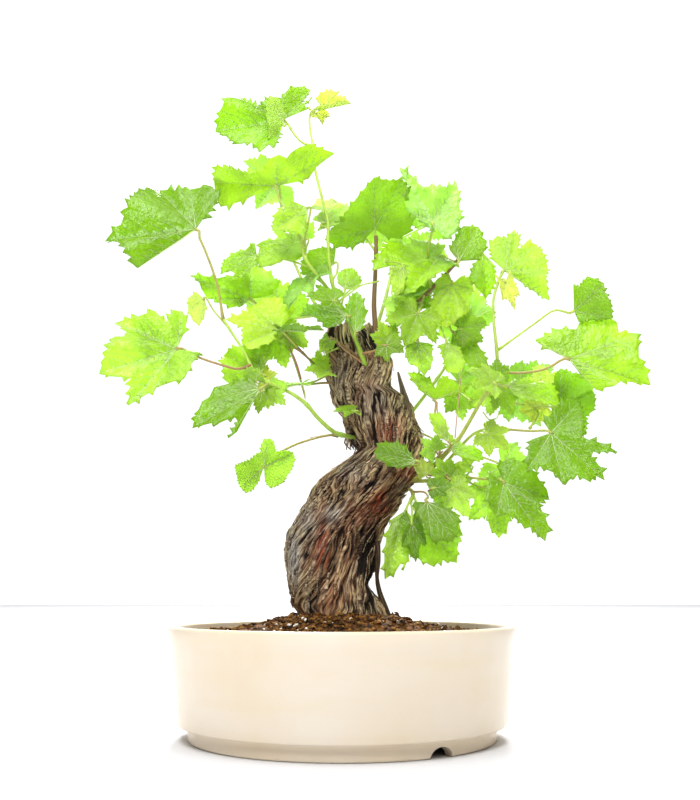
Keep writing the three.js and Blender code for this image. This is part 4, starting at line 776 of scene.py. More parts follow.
# Each shoot is its name, its stems and its leaves. A stem is its radius at both ends and the
# places along it, each a column, row and depth.
SHOOTS = [
  ["shoot_leader", [
    [1.5, 0.7, [[366, 372, -10], [364, 362, -24], [355, 338, -30], [347, 316, -34], [338, 303, -36],
     [331, 276, -38], [328, 241, -38], [328, 222, -38], [322, 198, -37], [315, 168, -35],
     [313, 146, -32], [310, 128, -30], [310, 115, -30], [314, 110, -30], [320, 109, -30]]],
    [1, 0.9, [[338, 303, -36], [325, 285, -38], [304, 256, -42], [301, 236, -42]]],
    [0.6, 0.5, [[338, 303, -36], [350, 290, -34], [362, 285, -30], [379, 281, -24]]],
  ], [
    ["deep crown left", "L", [282, 121, -18], [215, 128, -6], [0, 20], [[313, 146, -32],
     [303, 143, -30], [292, 131, -24]], [[222, 117], [228, 109], [238, 96], [249, 104], [262, 109],
     [272, 95], [281, 100], [285, 112], [226, 136], [238, 146], [252, 144], [261, 150], [269, 146],
     [274, 151], [279, 133]]],
    ["deep crown back", "M", [284, 119, 2], [311, 90, 8], [0, 10], [[291, 129, -23],
     [287, 123, -12]], [[281, 102], [288, 94], [300, 89], [313, 99], [310, 108], [300, 109],
     [291, 114], [270, 104], [258, 107], [256, 117]]],
    ["young crown tip", "S", [323, 109, -34], [351, 103, -6], [0, 35], [[317, 109, -30]], [],
     [30, 30, 0], [0.9, 0.9]],
    ["young crown bud", "S", [316, 113, -26], [323, 125, -4], [20, 20], [[312, 112, -30]], [],
     [20, 20, 0]],
    ["mid wide fan", "L", [276, 186, -45], [278, 155, -14], [0, 40], [[301, 240, -42],
     [292, 222, -43], [283, 207, -44]], [[271, 158], [267, 169], [254, 174], [240, 170], [229, 164],
     [220, 165], [210, 183], [217, 198], [225, 205], [238, 202], [251, 197], [288, 158], [293, 152],
     [301, 147], [311, 144], [323, 150], [331, 155], [323, 161], [315, 168], [310, 178],
     [300, 181]]],
    ["lit fork upper", "M", [308, 208, -50], [272, 230, -8], [0, 15], [[303, 247, -42],
     [308, 224, -46]], [[276, 217], [285, 207], [296, 204], [288, 234], [300, 232], [307, 224]]],
    ["mid fork lower", "M", [306, 239, -28], [258, 253, -12], [0, 25], [[306, 259, -41],
     [306, 249, -34]], [[262, 242], [275, 238], [290, 233], [301, 232], [261, 265], [272, 265],
     [284, 260], [297, 261], [306, 255]]],
    ["mid fork left", "M", [257, 256, -30], [220, 272, -6], [0, 20], [[313, 268, -40],
     [287, 260, -33]], [[226, 258], [235, 254], [245, 250], [255, 246], [231, 273], [240, 277],
     [250, 269], [259, 263]]],
    ["deep fork right", "M", [334, 263, -20], [303, 275, 4], [0, 5], [[332, 280, -37],
     [337, 272, -27]], [[301, 267], [305, 256], [313, 250], [326, 248], [336, 250], [316, 276],
     [327, 271]]],
    ["deep node left", "M", [334, 301, -48], [306, 296, -8], [0, 25], [[338, 303, -36]]],
    ["lit node right", "M", [345, 289, -28], [348, 267, 4], [10, 10], [[341, 307, -36]],
     [[338, 274], [339, 284], [358, 274], [361, 283], [353, 290]]],
    ["deep node drop", "M", [355, 332, -42], [357, 290, 2], [0, 10], [[352, 328, -32]], [[349, 300],
     [345, 313], [349, 324], [364, 303], [366, 315], [361, 330]]],
    ["dark over top", "M", [347, 316, -56], [300, 315, -8], [0, 30], [[348, 318, -34]], [[310, 309],
     [324, 306], [336, 308], [344, 311], [310, 321], [328, 327], [342, 323]]],
    ["blue edge left", "M", [311, 279, -34], [285, 306, -8], [0, 80], [[325, 285, -38]], [],
     [0, 0, 0.1]],
    ["sunny face left", "S", [330, 340, -32], [322, 352, -2], [0, 0], [[364, 364, -23],
     [345, 350, -30]], [], [0, 0, 0], [0.8, 0.8]],
    ["deep right bud", "M", [386, 346, -46], [404, 352, -6], [0, 20], [[361, 354, -27],
     [376, 350, -38]], [], [0, 0, 0.05], [1.2, 1.2]],
  ]],
  ["cane_upright", [
    [2.2, 1.2, [[371, 354, 0], [375, 332, -8], [374, 305, -10], [375, 280, -12], [376, 255, -14],
     [376, 236, -15]]],
    [1.5, 1, [[375, 335, -7], [386, 329, 2], [402, 317, 9], [420, 300, 8], [440, 280, 2],
     [455, 264, -4], [460, 256, -6]]],
  ], [
    ["deep crown middle", "L", [375, 229, -16], [374, 180, -30], [0, 10], [[376, 238, -15]],
     [[366, 187], [358, 194], [349, 204], [340, 217], [331, 228], [326, 243], [340, 245],
     [355, 243], [366, 236], [388, 180], [402, 180], [410, 192], [404, 201], [412, 222], [408, 232],
     [396, 238], [385, 236]]],
    ["pale crown behind", "M", [352, 215, 8], [310, 206, 4], [0, 55], [[376, 252, -14],
     [362, 232, -6]]],
    ["blue fold right", "L", [432, 222, -32], [400, 165, 8], [0, 10], [[431, 289, 5],
     [428, 256, -12], [430, 240, -24]], [[408, 173], [417, 184], [423, 190], [435, 192], [446, 191],
     [457, 184], [459, 205], [460, 222], [457, 233], [445, 240], [436, 232], [400, 171], [409, 186],
     [404, 201], [406, 209], [414, 215]], [0, 0, 0.03]],
    ["mid hand", "L", [440, 256, -8], [373, 265, -20], [0, 30], [[455, 262, -4], [448, 259, -7]],
     [[380, 254], [390, 244], [405, 246], [418, 242], [427, 241], [434, 245], [446, 246],
     [393, 263], [409, 270], [407, 290], [417, 287], [426, 282], [436, 275], [448, 273],
     [457, 268]], [0, 0, 0.06]],
    ["lit curl", "S", [402, 268, -40], [396, 297, -4], [0, 0], [[376, 262, -14], [392, 262, -26]],
     [[404, 290], [405, 279], [410, 274], [391, 290], [393, 276], [390, 267]], [10, 10, 0]],
    ["deep upper right", "M", [459, 261, -32], [479, 226, 4], [10, 0], [[455, 264, -4]],
     [[470, 226], [463, 226], [456, 237], [450, 250], [482, 238], [486, 242], [484, 252],
     [474, 261]]],
    ["mid right drop", "M", [482, 252, 4], [488, 297, -8], [20, 10], [[460, 257, -6]], [[492, 262],
     [495, 280], [476, 262], [470, 276], [475, 290], [482, 295]]],
    ["sunny broad right", "L", [452, 284, -6], [446, 328, -4], [0, 5], [[440, 280, 2]], [[436, 324],
     [430, 314], [432, 302], [435, 290], [437, 280], [446, 275], [456, 322], [470, 310], [467, 300],
     [473, 289], [472, 282], [461, 277]]],
    ["dark behind right", "M", [408, 297, 16], [437, 283, 4], [0, 0], [[403, 318, 10]]],
    ["blue low middle", "M", [420, 304, -10], [384, 301, -8], [0, 15], [[416, 303, 8],
     [417, 308, -3]], [[395, 296], [408, 298], [386, 313], [391, 328], [400, 324], [411, 316]]],
    ["mid low middle", "M", [418, 314, -28], [405, 346, -6], [10, 5], [[424, 296, 7],
     [421, 306, -14]], [], [0, 0, 0.05], [1.1, 1.1]],
    ["deep right point", "M", [461, 329, -4], [487, 321, 4], [0, 0], [[447, 272, -1],
     [458, 300, 1]]],
    ["deep right low", "M", [453, 332, 4], [489, 366, -4], [0, 0], [[435, 285, 4], [448, 312, 8]],
     [[461, 328], [473, 338], [481, 350], [470, 368], [462, 364], [459, 350], [451, 341]]],
    ["lit hanging one", "M", [418, 342, -28], [425, 375, -4], [10, 5], [[410, 309, 9],
     [419, 328, -8]], [[431, 343], [432, 355], [430, 367], [407, 343], [405, 354], [409, 362],
     [417, 368]]],
    ["lit hanging two", "M", [447, 343, -14], [457, 373, -4], [0, 5], [[428, 292, 6],
     [438, 320, 2]], [[457, 347], [465, 360], [463, 369], [438, 345], [441, 352], [444, 361],
     [446, 371]]],
  ]],
  ["shoot_right", [
    [1.6, 0.8, [[408, 481, 0], [420, 477, -10], [436, 464, -18], [447, 452, -24], [458, 440, -28],
     [480, 403, -35], [489, 389, -38], [497, 380, -40], [497, 355, -42], [493, 304, -40],
     [498, 283, -38], [504, 269, -38]]],
    [1.2, 0.9, [[424, 474, -12], [438, 470, -16], [460, 447, -22], [475, 433, -26], [490, 429, -32],
     [506, 429, -38]]],
    [1.2, 0.9, [[412, 482, -2], [430, 480, -14], [448, 476, -22], [467, 477, -30]]],
  ], [
    ["lit far top", "L", [505, 271, -38], [548, 268, -10], [0, 15], [[502, 273, -38]], [[543, 255],
     [536, 243], [527, 243], [515, 258], [520, 240], [513, 228], [507, 237], [497, 238], [490, 247],
     [494, 262], [546, 281], [548, 297], [536, 291], [523, 283]]],
    ["young far bud", "S", [505, 282, -52], [515, 311, -2], [0, 0], [[498, 283, -38]], [],
     [20, 20, 0], [0.5, 0.5]],
    ["deep far upper", "M", [574, 311, -55], [604, 283, -10], [0, 10], [[498, 350, -42],
     [520, 334, -48], [538, 321, -52], [555, 310, -55]], [[594, 279], [588, 277], [580, 287],
     [573, 285], [605, 293], [611, 303], [612, 318], [594, 320], [579, 322]]],
    ["mid far right", "L", [569, 359, -60], [652, 382, -10], [0, 12], [[498, 372, -41],
     [520, 373, -48], [545, 369, -56]], [[638, 360], [637, 349], [638, 333], [619, 333], [616, 323],
     [608, 318], [590, 318], [580, 322], [576, 330], [560, 331], [536, 341], [549, 349], [633, 382],
     [620, 384], [613, 389], [596, 388], [590, 382], [580, 373]]],
    ["young behind one", "M", [545, 392, -8], [537, 364, 6], [0, 0], [[492, 386, -39],
     [522, 394, -16]]],
    ["deep broad low", "L", [561, 405, -24], [593, 390, 4], [0, 0], [[487, 392, -37],
     [518, 404, -22]], [[590, 383], [578, 377], [570, 375], [561, 368], [553, 380], [551, 393],
     [593, 403], [590, 413], [584, 417], [587, 434], [580, 436], [569, 424]]],
    ["mid long blade", "M", [508, 387, -38], [560, 400, -6], [0, 30], [[489, 389, -38],
     [498, 385, -40]], [[550, 387], [537, 381], [523, 380], [511, 382], [555, 406], [540, 403],
     [521, 399], [511, 394]]],
    ["dark low far", "L", [551, 433, -56], [606, 477, -14], [0, 20], [[503, 429, -37],
     [530, 431, -48]], [[600, 466], [590, 457], [585, 452], [616, 455], [603, 448], [588, 443],
     [581, 440], [582, 418], [580, 400], [568, 398], [560, 404], [552, 414], [543, 422], [597, 474],
     [588, 482], [577, 476], [563, 482], [553, 473], [540, 467], [527, 471], [527, 457],
     [531, 441]]],
    ["deep low hang", "L", [504, 483, -44], [546, 540, -12], [0, 15], [[464, 477, -29],
     [485, 479, -38]], [[547, 527], [541, 515], [537, 505], [549, 497], [547, 489], [540, 481],
     [533, 472], [521, 463], [509, 460], [497, 466], [490, 471], [530, 528], [524, 530], [514, 513],
     [505, 515], [497, 515], [490, 508], [486, 497], [489, 484]]],
    ["lit low behind", "M", [497, 494, -28], [499, 538, -4], [0, 0], [[456, 476, -25],
     [478, 486, -28]]],
    ["sunny low small", "M", [487, 434, -42], [509, 449, -4], [0, 0], [[486, 430, -30]]],
    ["lit behind left", "M", [495, 389, -16], [468, 405, 6], [0, 0], [[484, 397, -36]]],
    ["deep node small", "S", [497, 377, -50], [497, 357, -2], [0, 0], [[497, 366, -41]]],
    ["lit cross left", "M", [494, 383, -61], [467, 369, -4], [0, 35], [[494, 383, -40]]],
    ["mid pointing up", "M", [434, 400, -22], [408, 372, -6], [0, 20], [[441, 459, -21],
     [437, 430, -20], [435, 412, -21]], [[421, 375], [431, 382], [435, 389], [437, 382], [443, 377],
     [453, 381], [458, 386], [471, 385], [461, 393], [449, 397], [414, 383], [422, 392]],
     [0, 0, 0.03]],
    ["lit stub up", "M", [449, 442, -38], [429, 413, -4], [0, 10], [[447, 452, -24]], [[441, 415],
     [447, 423], [448, 431], [455, 443], [432, 425], [435, 433], [443, 439]]],
    ["mid stub right", "M", [451, 448, -32], [484, 459, -4], [0, 20], [[456, 442, -27]],
     [[479, 451], [466, 445], [456, 443], [475, 462], [461, 457], [453, 453]]],
    ["lit tangle one", "S", [436, 452, -26], [421, 438, -4], [0, 0], [[437, 463, -18]]],
    ["sunny tangle", "S", [452, 476, -20], [460, 461, -4], [0, 0], [[450, 476, -23]]],
    ["mid tangle low", "M", [450, 480, -31], [468, 498, -4], [0, 0], [[442, 477, -19]]],
    ["lit tangle drop", "M", [452, 489, -37], [469, 517, -4], [0, 0], [[456, 476, -25]], [],
     [0, 0, 0.05], [0.9, 0.9]],
    ["lit tangle end", "S", [440, 492, 2], [452, 507, -2], [0, 0], [[424, 481, -10]]],
  ]],
  ["shoot_low", [
    [1.3, 0.9, [[402, 487, 2], [412, 491, -10], [413, 496, -14], [410, 502, -17]]],
  ], [
    ["lit low left", "L", [406, 510, -25], [385, 579, -8], [0, 0], [[411, 499, -16]], [[384, 563],
     [385, 546], [388, 530], [394, 518], [396, 571], [404, 571], [404, 557], [410, 547], [413, 531],
     [411, 517]], [0, 0, 0.03]],
    ["lit low right", "L", [416, 511, -18], [457, 563, -6], [0, 0], [[413, 495, -13],
     [416, 502, -15]], [[443, 560], [432, 567], [420, 561], [409, 552], [407, 538], [408, 522],
     [457, 550], [461, 530], [455, 513], [440, 504]], [0, 0, 0.03]],
    ["dark low fold", "M", [412, 524, -34], [416, 562, -2], [0, 0], [[411, 502, -17],
     [412, 512, -31]], [], [0, 0, 0.05], [0.5, 0.5]],
    ["dark low front", "M", [427, 502, -44], [453, 541, -6], [0, 5], [[412, 492, -11],
     [424, 492, -22], [428, 498, -38]], [[444, 541], [432, 541], [424, 525], [416, 513], [414, 502],
     [458, 528], [459, 517], [447, 508], [437, 503]]],
  ]],
  ["leaf_trunk_face", [], [
    ["dark trunk face", "M", [416, 461, -36], [374, 452, -4], [0, 20], [[404, 466, -6],
     [419, 464, -30]], [[380, 445], [390, 442], [400, 444], [407, 450], [412, 456], [380, 461],
     [391, 466], [405, 467], [412, 465]]],
  ]],
  ["leaf_trunk_left", [], [
    ["mid trunk left", "S", [354, 411, -30], [333, 412, -2], [0, 55], [[364, 413, -6],
     [358, 411, -25]], [], [0, 0, 0]],
  ]],
  ["shoot_bud_left", [
    [1.1, 0.6, [[338, 375, -2], [328, 372, -12], [320, 369, -18], [308, 358, -22], [298, 348, -28],
     [284, 334, -33]]],
  ], [
    ["sunny wide left", "L", [280, 330, -34], [226, 317, -8], [0, 20], [[286, 336, -33]],
     [[237, 315], [246, 313], [253, 305], [266, 300], [283, 303], [291, 306], [292, 316],
     [232, 325], [242, 330], [243, 344], [250, 352], [260, 348], [270, 345], [276, 337]]],
    ["deep thin right", "M", [286, 330, -38], [324, 327, -4], [0, 70], [[297, 347, -29]], [],
     [0, 0, 0.05], [0.5, 0.5]],
    ["lit small low", "M", [288, 332, -27], [308, 347, 4], [0, 10], [[292, 342, -31]]],
    ["lit lower left", "M", [277, 335, -20], [253, 367, -4], [0, 10], [[303, 353, -25],
     [288, 343, -21]]],
    ["sunny bud leaf", "S", [328, 371, -30], [304, 371, -4], [0, 50], [[325, 371, -14]], [],
     [0, 0, 0]],
    ["mid edge blade", "M", [300, 384, -24], [262, 388, -8], [0, 78], [[331, 373, -9],
     [318, 380, -16], [307, 384, -22]], [], [0, 0, 0.05], [0.6, 0.6]],
  ]],
  ["shoot_left", [
    [1.7, 0.75, [[358, 438, -4], [346, 436, -16], [334, 432, -24], [318, 418, -32], [305, 403, -38],
     [287, 391, -43], [270, 384, -46], [257, 376, -48], [243, 350, -50], [232, 333, -52],
     [223, 319, -53]]],
  ], [
    ["dark far left", "L", [196, 229, -66], [105, 241, -8], [0, 25], [[223, 319, -53],
     [217, 284, -56], [205, 250, -62], [199, 236, -65]], [[122, 231], [130, 219], [139, 203],
     [150, 194], [159, 186], [175, 192], [190, 188], [211, 190], [221, 199], [213, 210], [203, 221],
     [118, 247], [137, 265]], [0, 0, 0.04]],
    ["lit far left", "L", [177, 349, -60], [99, 372, -16], [0, 10], [[251, 365, -49],
     [238, 369, -50], [225, 366, -52], [198, 357, -56]], [[115, 340], [133, 338], [116, 321],
     [138, 318], [155, 315], [168, 322], [170, 329], [173, 312], [182, 311], [187, 322], [183, 336],
     [112, 377], [132, 378], [129, 403], [141, 397], [156, 389], [166, 386], [184, 383], [190, 370],
     [200, 353]]],
    ["young left bud", "S", [204, 299, -50], [199, 326, -2], [0, 0], [[229, 328, -52],
     [214, 311, -50]], [[192, 319], [188, 310], [190, 297], [197, 293], [205, 316], [206, 305]],
     [0, 0, 0]],
    ["mid left inner", "M", [261, 373, -38], [223, 353, 8], [0, 10], [[261, 379, -47]], [[224, 368],
     [227, 382], [240, 387], [251, 383], [238, 349], [252, 347], [270, 348], [268, 361]]],
    ["dark left low", "L", [260, 389, -62], [192, 427, -12], [0, 25], [[268, 383, -46]],
     [[199, 411], [202, 402], [209, 395], [214, 387], [225, 385], [240, 379], [252, 380],
     [204, 428], [221, 427], [229, 438], [237, 431], [242, 416], [250, 404]]],
    ["young left one", "S", [260, 378, -28], [278, 373, -2], [0, 0], [[265, 382, -46]]],
    ["mid left drop", "S", [262, 391, -50], [258, 414, -2], [0, 0], [[266, 382, -46]]],
    ["mid left upper", "L", [250, 299, -12], [190, 272, -8], [0, 25], [[307, 405, -37],
     [304, 392, -8], [288, 345, -2], [268, 316, -5]], [[203, 274], [217, 279], [232, 279],
     [244, 275], [251, 266], [262, 271], [270, 280], [276, 292], [266, 299], [198, 285], [201, 291],
     [208, 297], [220, 305], [232, 307], [242, 307]]],
    ["lit low lone", "L", [264, 467, -38], [268, 439, -6], [0, 10], [[341, 434, -20],
     [324, 436, -24], [292, 446, -34], [276, 456, -36]], [[275, 441], [276, 451], [287, 450],
     [293, 453], [295, 461], [289, 473], [283, 482], [270, 487], [265, 479], [263, 440], [261, 451],
     [250, 460], [236, 465], [238, 478], [240, 488], [248, 492], [255, 487], [260, 478]],
     [0, 0, 0.03]],
  ]],
  ["shoot_back_left", [
    [1.8, 0.8, [[346, 362, 2], [338, 340, 26], [322, 315, 44], [305, 285, 60], [290, 250, 72],
     [280, 200, 74]]],
  ], [
    ["mid back one", "L", [285, 318, 58], [245, 300, 12], [180, 25], [[322, 315, 44],
     [300, 318, 52]]],
    ["mid back two", "M", [300, 240, 76], [272, 226, 6], [180, 20], [[292, 254, 71]]],
    ["lit back three", "L", [276, 184, 76], [232, 184, 8], [180, 60], [[280, 200, 74]], [],
     [0, 0, 0.08]],
  ]],
  ["shoot_back_right", [
    [1.8, 0.9, [[388, 440, 2], [402, 424, 30], [425, 395, 50], [450, 360, 66], [470, 325, 78]]],
  ], [
    ["lit back five", "L", [468, 322, 78], [440, 290, 8], [180, 15], [[468, 329, 77]]],
    ["mid back six", "M", [458, 382, 62], [492, 392, 6], [180, 25], [[437, 378, 58]]],
    ["deep back seven", "L", [520, 392, 74], [566, 398, 8], [180, 25], [[450, 360, 66],
     [490, 378, 70]]],
    ["lit back eight", "M", [502, 466, 60], [532, 496, 8], [180, 20], [[402, 424, 30],
     [450, 446, 46]]],
  ]],
  ["shoot_back_up", [
    [1.8, 0.9, [[368, 360, 4], [376, 330, 30], [385, 300, 46], [392, 270, 58], [398, 240, 64]]],
  ], [
    ["lit back ten", "L", [405, 262, 66], [448, 256, 8], [180, 45], [[393, 266, 59]]],
    ["mid back eleven", "L", [392, 226, 66], [362, 200, 8], [180, 20], [[398, 240, 64]]],
    ["lit back thirteen", "M", [430, 222, 70], [444, 192, 6], [180, 10], [[398, 240, 64],
     [414, 232, 66]]],
  ]],
  ["fine_growth", [], [
    ["mid right bud", "S", [388, 342, -28], [379, 320, -4], [0, 15], [[376, 350, -30]]],
    ["young behind two", "S", [545, 405, 2], [522, 412, -2], [0, 0], [[552, 398, -2]]],
    ["mid behind down", "M", [500, 389, -31], [513, 415, -2], [0, 0], [[497, 382, -39]], [],
     [0, 0, 0.05], [0.8, 0.8]],
    ["young tangle", "S", [426, 474, -22], [421, 457, -2], [0, 0], [[430, 478, -15]], [],
     [0, 0, 0.05], [0.9, 0.9]],
    ["mid tangle two", "S", [447, 475, -28], [435, 457, -2], [0, 0], [[450, 477, -23]]],
    ["dark tangle low", "M", [434, 488, -46], [453, 485, -2], [0, 0], [[430, 480, -20]], [],
     [0, 0, 0.05], [0.8, 0.8]],
    ["lit left two", "S", [268, 389, -44], [286, 405, -2], [0, 0], [[266, 383, -46]]],
    ["lit left three", "S", [256, 381, -50], [246, 366, -2], [0, 0], [[262, 380, -47]], [],
     [0, 0, 0.05], [0.8, 0.8]],
    ["lit behind low", "S", [458, 396, -4], [463, 421, -2], [0, 0], [[470, 400, -25]]],
    ["mid bud leaf", "S", [321, 367, -20], [317, 349, -2], [0, 0], [[322, 371, -16]], [],
     [0, 0, 0.05], [0.9, 0.9]],
    ["sunny face two", "S", [324, 350, -30], [325, 332, -2], [0, 0], [[338, 348, -28]], [],
     [0, 0, 0], [0.5, 0.5]],
    ["sunny crown strip", "M", [283, 124, -24], [270, 95, -2], [0, 5], [[286, 124, -23]],
     [[281, 103], [285, 112], [284, 120], [266, 112], [269, 128], [268, 140], [274, 151],
     [278, 136]], [0, 0, 0.03]],
    ["blue fork behind", "M", [323, 223, -26], [344, 207, -2], [0, 20], [[328, 228, -36]],
     [[336, 204], [331, 210], [346, 215], [341, 221], [334, 226], [318, 214], [314, 222],
     [317, 230]], [0, 0, 0.04]],
    ["sunny tangle three", "S", [470, 466, -30], [455, 463, -2], [0, 0], [[467, 475, -29]], [],
     [0, 0, 0.05], [0.8, 0.8]],
    ["young behind far", "M", [536, 410, -20], [520, 395, -2], [0, 20], [[530, 428, -44]]],
  ]],
]
YOUNG_SHOOTS = ["shoot_low"]  # a shoot of young leaves

# Leaves with a red-brown stalk, and how red it is
RED_STALKS = {
    "lit far left": 0.9, "dark far left": 0.55, "mid wide fan": 0.2, "mid far right": 0.75,
    "lit lower left": 0.8, "dark left low": 0.5, "mid pointing up": 0.7, "lit stub up": 0.7,
    "lit tangle one": 0.8, "sunny tangle": 0.6, "mid tangle low": 0.7, "dark low front": 0.7,
    "dark low far": 0.5, "deep low hang": 0.5, "deep right low": 0.6, "lit low lone": 0.6,
    "lit hanging one": 0.5, "sunny face left": 0.9, "deep right bud": 0.9, "mid tangle two": 0.7,
}
# Colours of a shoot's stems at both ends, where they aren't the usual ones
STEM_TINT = ["#9CB84C", "#BCDA60"]
STEM_TINTS = {
    "shoot_leader": ["#9CC23C", "#C5DE66"],
    "cane_upright": ["#7A5546", "#8C7248"],
    "shoot_right": ["#A8A850", "#B4D858"],
    "shoot_low": ["#A77C50", "#B9D65A"],
    "shoot_bud_left": ["#9C9A58", "#8E5A4C"],
    "shoot_left": ["#A4C650", "#B8DC58"],
}
# Tendrils, bare stalks and twigs: colours and radii of both ends, and places
THREADS = [
    [["#B8D858", "#C4E068"], 0.7, 0.4,
     [[342, 299, -36], [350, 293, -34], [362, 285, -30], [378, 282, -24]]],
    [["#8A6A4A", "#9A7A50"], 0.9, 0.6,
     [[366, 365, -18], [352, 352, -26], [340, 343, -30], [330, 337, -31]]],
    [["#8E4E40", "#A06050"], 0.9, 0.6, [[367, 359, -18], [375, 351, -26], [385, 343, -28]]],
    [["#A85A4C", "#B0705A"], 0.7, 0.5, [[427, 463, -12], [436, 458, -16], [443, 451, -20]]],
    [["#A04A40", "#B06A50"], 1.1, 0.8, [[438, 453, -20], [440, 458, -21], [442, 464, -22]]],
    [["#A85A4C", "#B87A60"], 0.7, 0.5, [[428, 475, -12], [440, 477, -20], [450, 480, -26]]],
    [["#A85A4C", "#B87A60"], 0.7, 0.4, [[428, 491, -14], [438, 487, -20], [447, 481, -25]]],
    [["#B8806C", "#B0A070"], 0.6, 0.5, [[437, 402, -22], [437, 408, -22], [438, 414, -24]]],
    [["#C08878", "#C4A080"], 0.4, 0.3, [[455, 438, -26], [458, 405, -27], [462, 368, -28]]],
    [["#C4DE70", "#D0E880"], 0.5, 0.4,
     [[483, 412, -30], [490, 420, -34], [497, 418, -36], [499, 411, -36]]],
    [["#A86450", "#A8746A"], 0.6, 0.45,
     [[301, 379, -24], [296, 362, -26], [288, 345, -26], [282, 335, -25]]],
    [["#8A7050", "#7A6448"], 0.6, 0.25, [[338, 437, -14], [326, 435, -20], [310, 438, -24]]],
    [["#A4684C", "#98B050"], 0.9, 0.7, [[336, 383, -10], [322, 383, -16], [306, 385, -22]]],
]
STEM_STEP = 3.2
STEM_SIDES = 12
NODE_SWELL = 0.32  # of a stem's radius where a stalk leaves it
NODE_LENGTH = 2.6


def shoot_stem(thick, thin, places, starts, tints, stalks):
    """A round stem that swells at each joint where a leaf stalk leaves it."""
    knots = [seen(p) for p in places]
    total = sum(np.linalg.norm(b - a) for a, b in zip(knots, knots[1:]))
    line = np.array(curve_points(knots, max(8, int(total / STEM_STEP))))
    share = np.linspace(0, 1, len(line))
    radii = thick + (thin - thick) * share
    for start in starts:
        gap = np.linalg.norm(line - start, axis=1)
        radii = radii * (1 + NODE_SWELL * np.exp(-(gap / NODE_LENGTH) ** 2))
    points, faces = tube(line, radii, STEM_SIDES)
    first, last = np.array(linear(tints[0])), np.array(linear(tints[1]))
    colours = np.repeat([first + (last - first) * s for s in share], STEM_SIDES, axis=0)
    stalks.put(points, faces, stem_tint=colours)


def build_shoot(name, stems, leaves, seed):
    """One shoot as two pieces: its blades with their veins, and its stems and stalks."""
    dice = random.Random(seed)
    blades, stalks = Heap(), Heap()
    leaves = [Leaf(*row) for row in leaves]
    starts = [seen(leaf.path[0]) for leaf in leaves]
    for thick, thin, places in stems:
        shoot_stem(thick, thin, places, starts, STEM_TINTS.get(name, STEM_TINT), stalks)
    for leaf in leaves:
        leaf_pieces(leaf, blades, stalks, dice)
    slot = "young_leaf" if name in YOUNG_SHOOTS else "leaf"
    made = blades.piece(name + "_blades", LEAF, slot)
    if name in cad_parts:
        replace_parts(made, name)
    else:
        for tints, thick, thin, places in THREADS:
            shoot_stem(thick, thin, places, [], tints, stalks)
    stalks.piece(name + "_stems", STEM, slot)


for seed, shoot in enumerate(SHOOTS, 11):
    build_shoot(*shoot, seed)

# Trunk

# Rows of the main view with the left and right edge of the trunk there, from the soil up
TRUNK_EDGES = [
    [618, 299, 389], [600, 293, 382], [580, 289, 378], [560, 286, 379], [545, 287, 381],
    [532, 291, 384], [520, 298, 390], [510, 302, 399], [500, 307, 405], [490, 312, 411],
    [480, 318, 416], [470, 330, 418], [460, 345, 419], [448, 358, 419], [440, 352, 419],
    [430, 346, 417], [420, 342, 414], [410, 337, 410], [400, 332, 407], [390, 328, 392],
    [380, 326, 391], [370, 327, 390], [357, 325, 385], [345, 324, 380], [332, 327, 373],
]
TRUNK_DEEP = 28  # half depth, front to back, at the soil
TRUNK_THINNING = 11
TRUNK_LEAN = 4
TRUNK_FOOT = 42
PLATES = 8
GROOVE = 2.6
TWIST = 0.011
DENT = 6
DENT_HEIGHT = 26
CROWN_DIP = 5
CROWN_SHARES = [0.86, 0.7, 0.52, 0.34, 0.16]  # of the way out, for the rings of the broken top
DARKENING = 0.85  # how far a patch of painted shade or of dark bark lowers the bark's light value
STRAND = [[377, 541, -6], [378, 560, -7], [377, 577, -7], [379, 590, -6], [384, 605, -4],
          [390, 621, -2]]
STRAND_RADIUS = 1.3  # where it is thinnest
STRAND_STEPS = 40
STRAND_SIDES = 10
SPLINTER = [[405, 424, -6], [406, 406, -8], [402, 388, -9], [398, 372, -9]]
SPLINTER_RADIUS = 5.6  # at its foot
SPLINTER_STEPS = 26
SPLINTER_SIDES = 20
SPLINTER_FURROW = 0.55
SLIT_HEIGHT = 102  # middle of the slit between the trunk and its loose root strand
SLIT_DEPTH = 10
SLIT_REACH = 7
HOLLOW_HEIGHT = 119  # middle of the dark hollow above the slit
HOLLOW_DEPTH = 5
HOLLOW_REACH = 15
HOLLOW_ANGLE = 0.5
TURNS = 300
LEVELS = 290
BURIED_LEVELS = 8
# Layers of fibres from coarse to fine: how many go round, height of a wave, seed, width of a
# furrow and share in the crest of the bark
FIBRES = [
    [3.6, 46, 3.1, 0.1, 0.33], [9, 28, 9.7, 0.16, 0.33], [20, 15, 21.3, 0.19, 0.22],
    [40, 10, 33.9, 0.2, 0.12],
]
# Patches of the bark: column, row, half width and half height in the main view, and strength
RED_PATCHES = [
    [323, 545, 7, 30, 1], [380, 503, 15, 20, 1], [389, 432, 12, 14, 0.9], [404, 470, 12, 12, 0.8],
    [345, 530, 10, 30, 0.45], [365, 520, 14, 16, 0.6], [335, 590, 14, 20, 0.5],
]
GREY_PATCHES = [
    [293, 555, 6, 24, 1], [306, 520, 10, 16, 0.6], [331, 513, 8, 8, 0.7], [338, 380, 8, 20, 0.3],
    [352, 470, 12, 10, 0.4], [375, 400, 12, 16, 0.3],
]
# Painted shade in the hollow beside the root strand and in the broken top, and other darker patches
SHADE_AND_DARK_PATCHES = [
    [371, 563, 7, 30, 1.7], [373, 340, 12, 12, 1], [368, 485, 5, 5, 0.9], [350, 545, 10, 12, 0.5],
    [345, 410, 8, 24, 0.5], [392, 385, 8, 14, 0.5],
]
PATCH_SCALE = 0.74  # millimetres for a picture element
SHREDS = 380
SHRED_STEPS = 7
HANGING = 34  # torn strips under the crook on the left
HANGING_LOW = 450  # lowest row that they reach

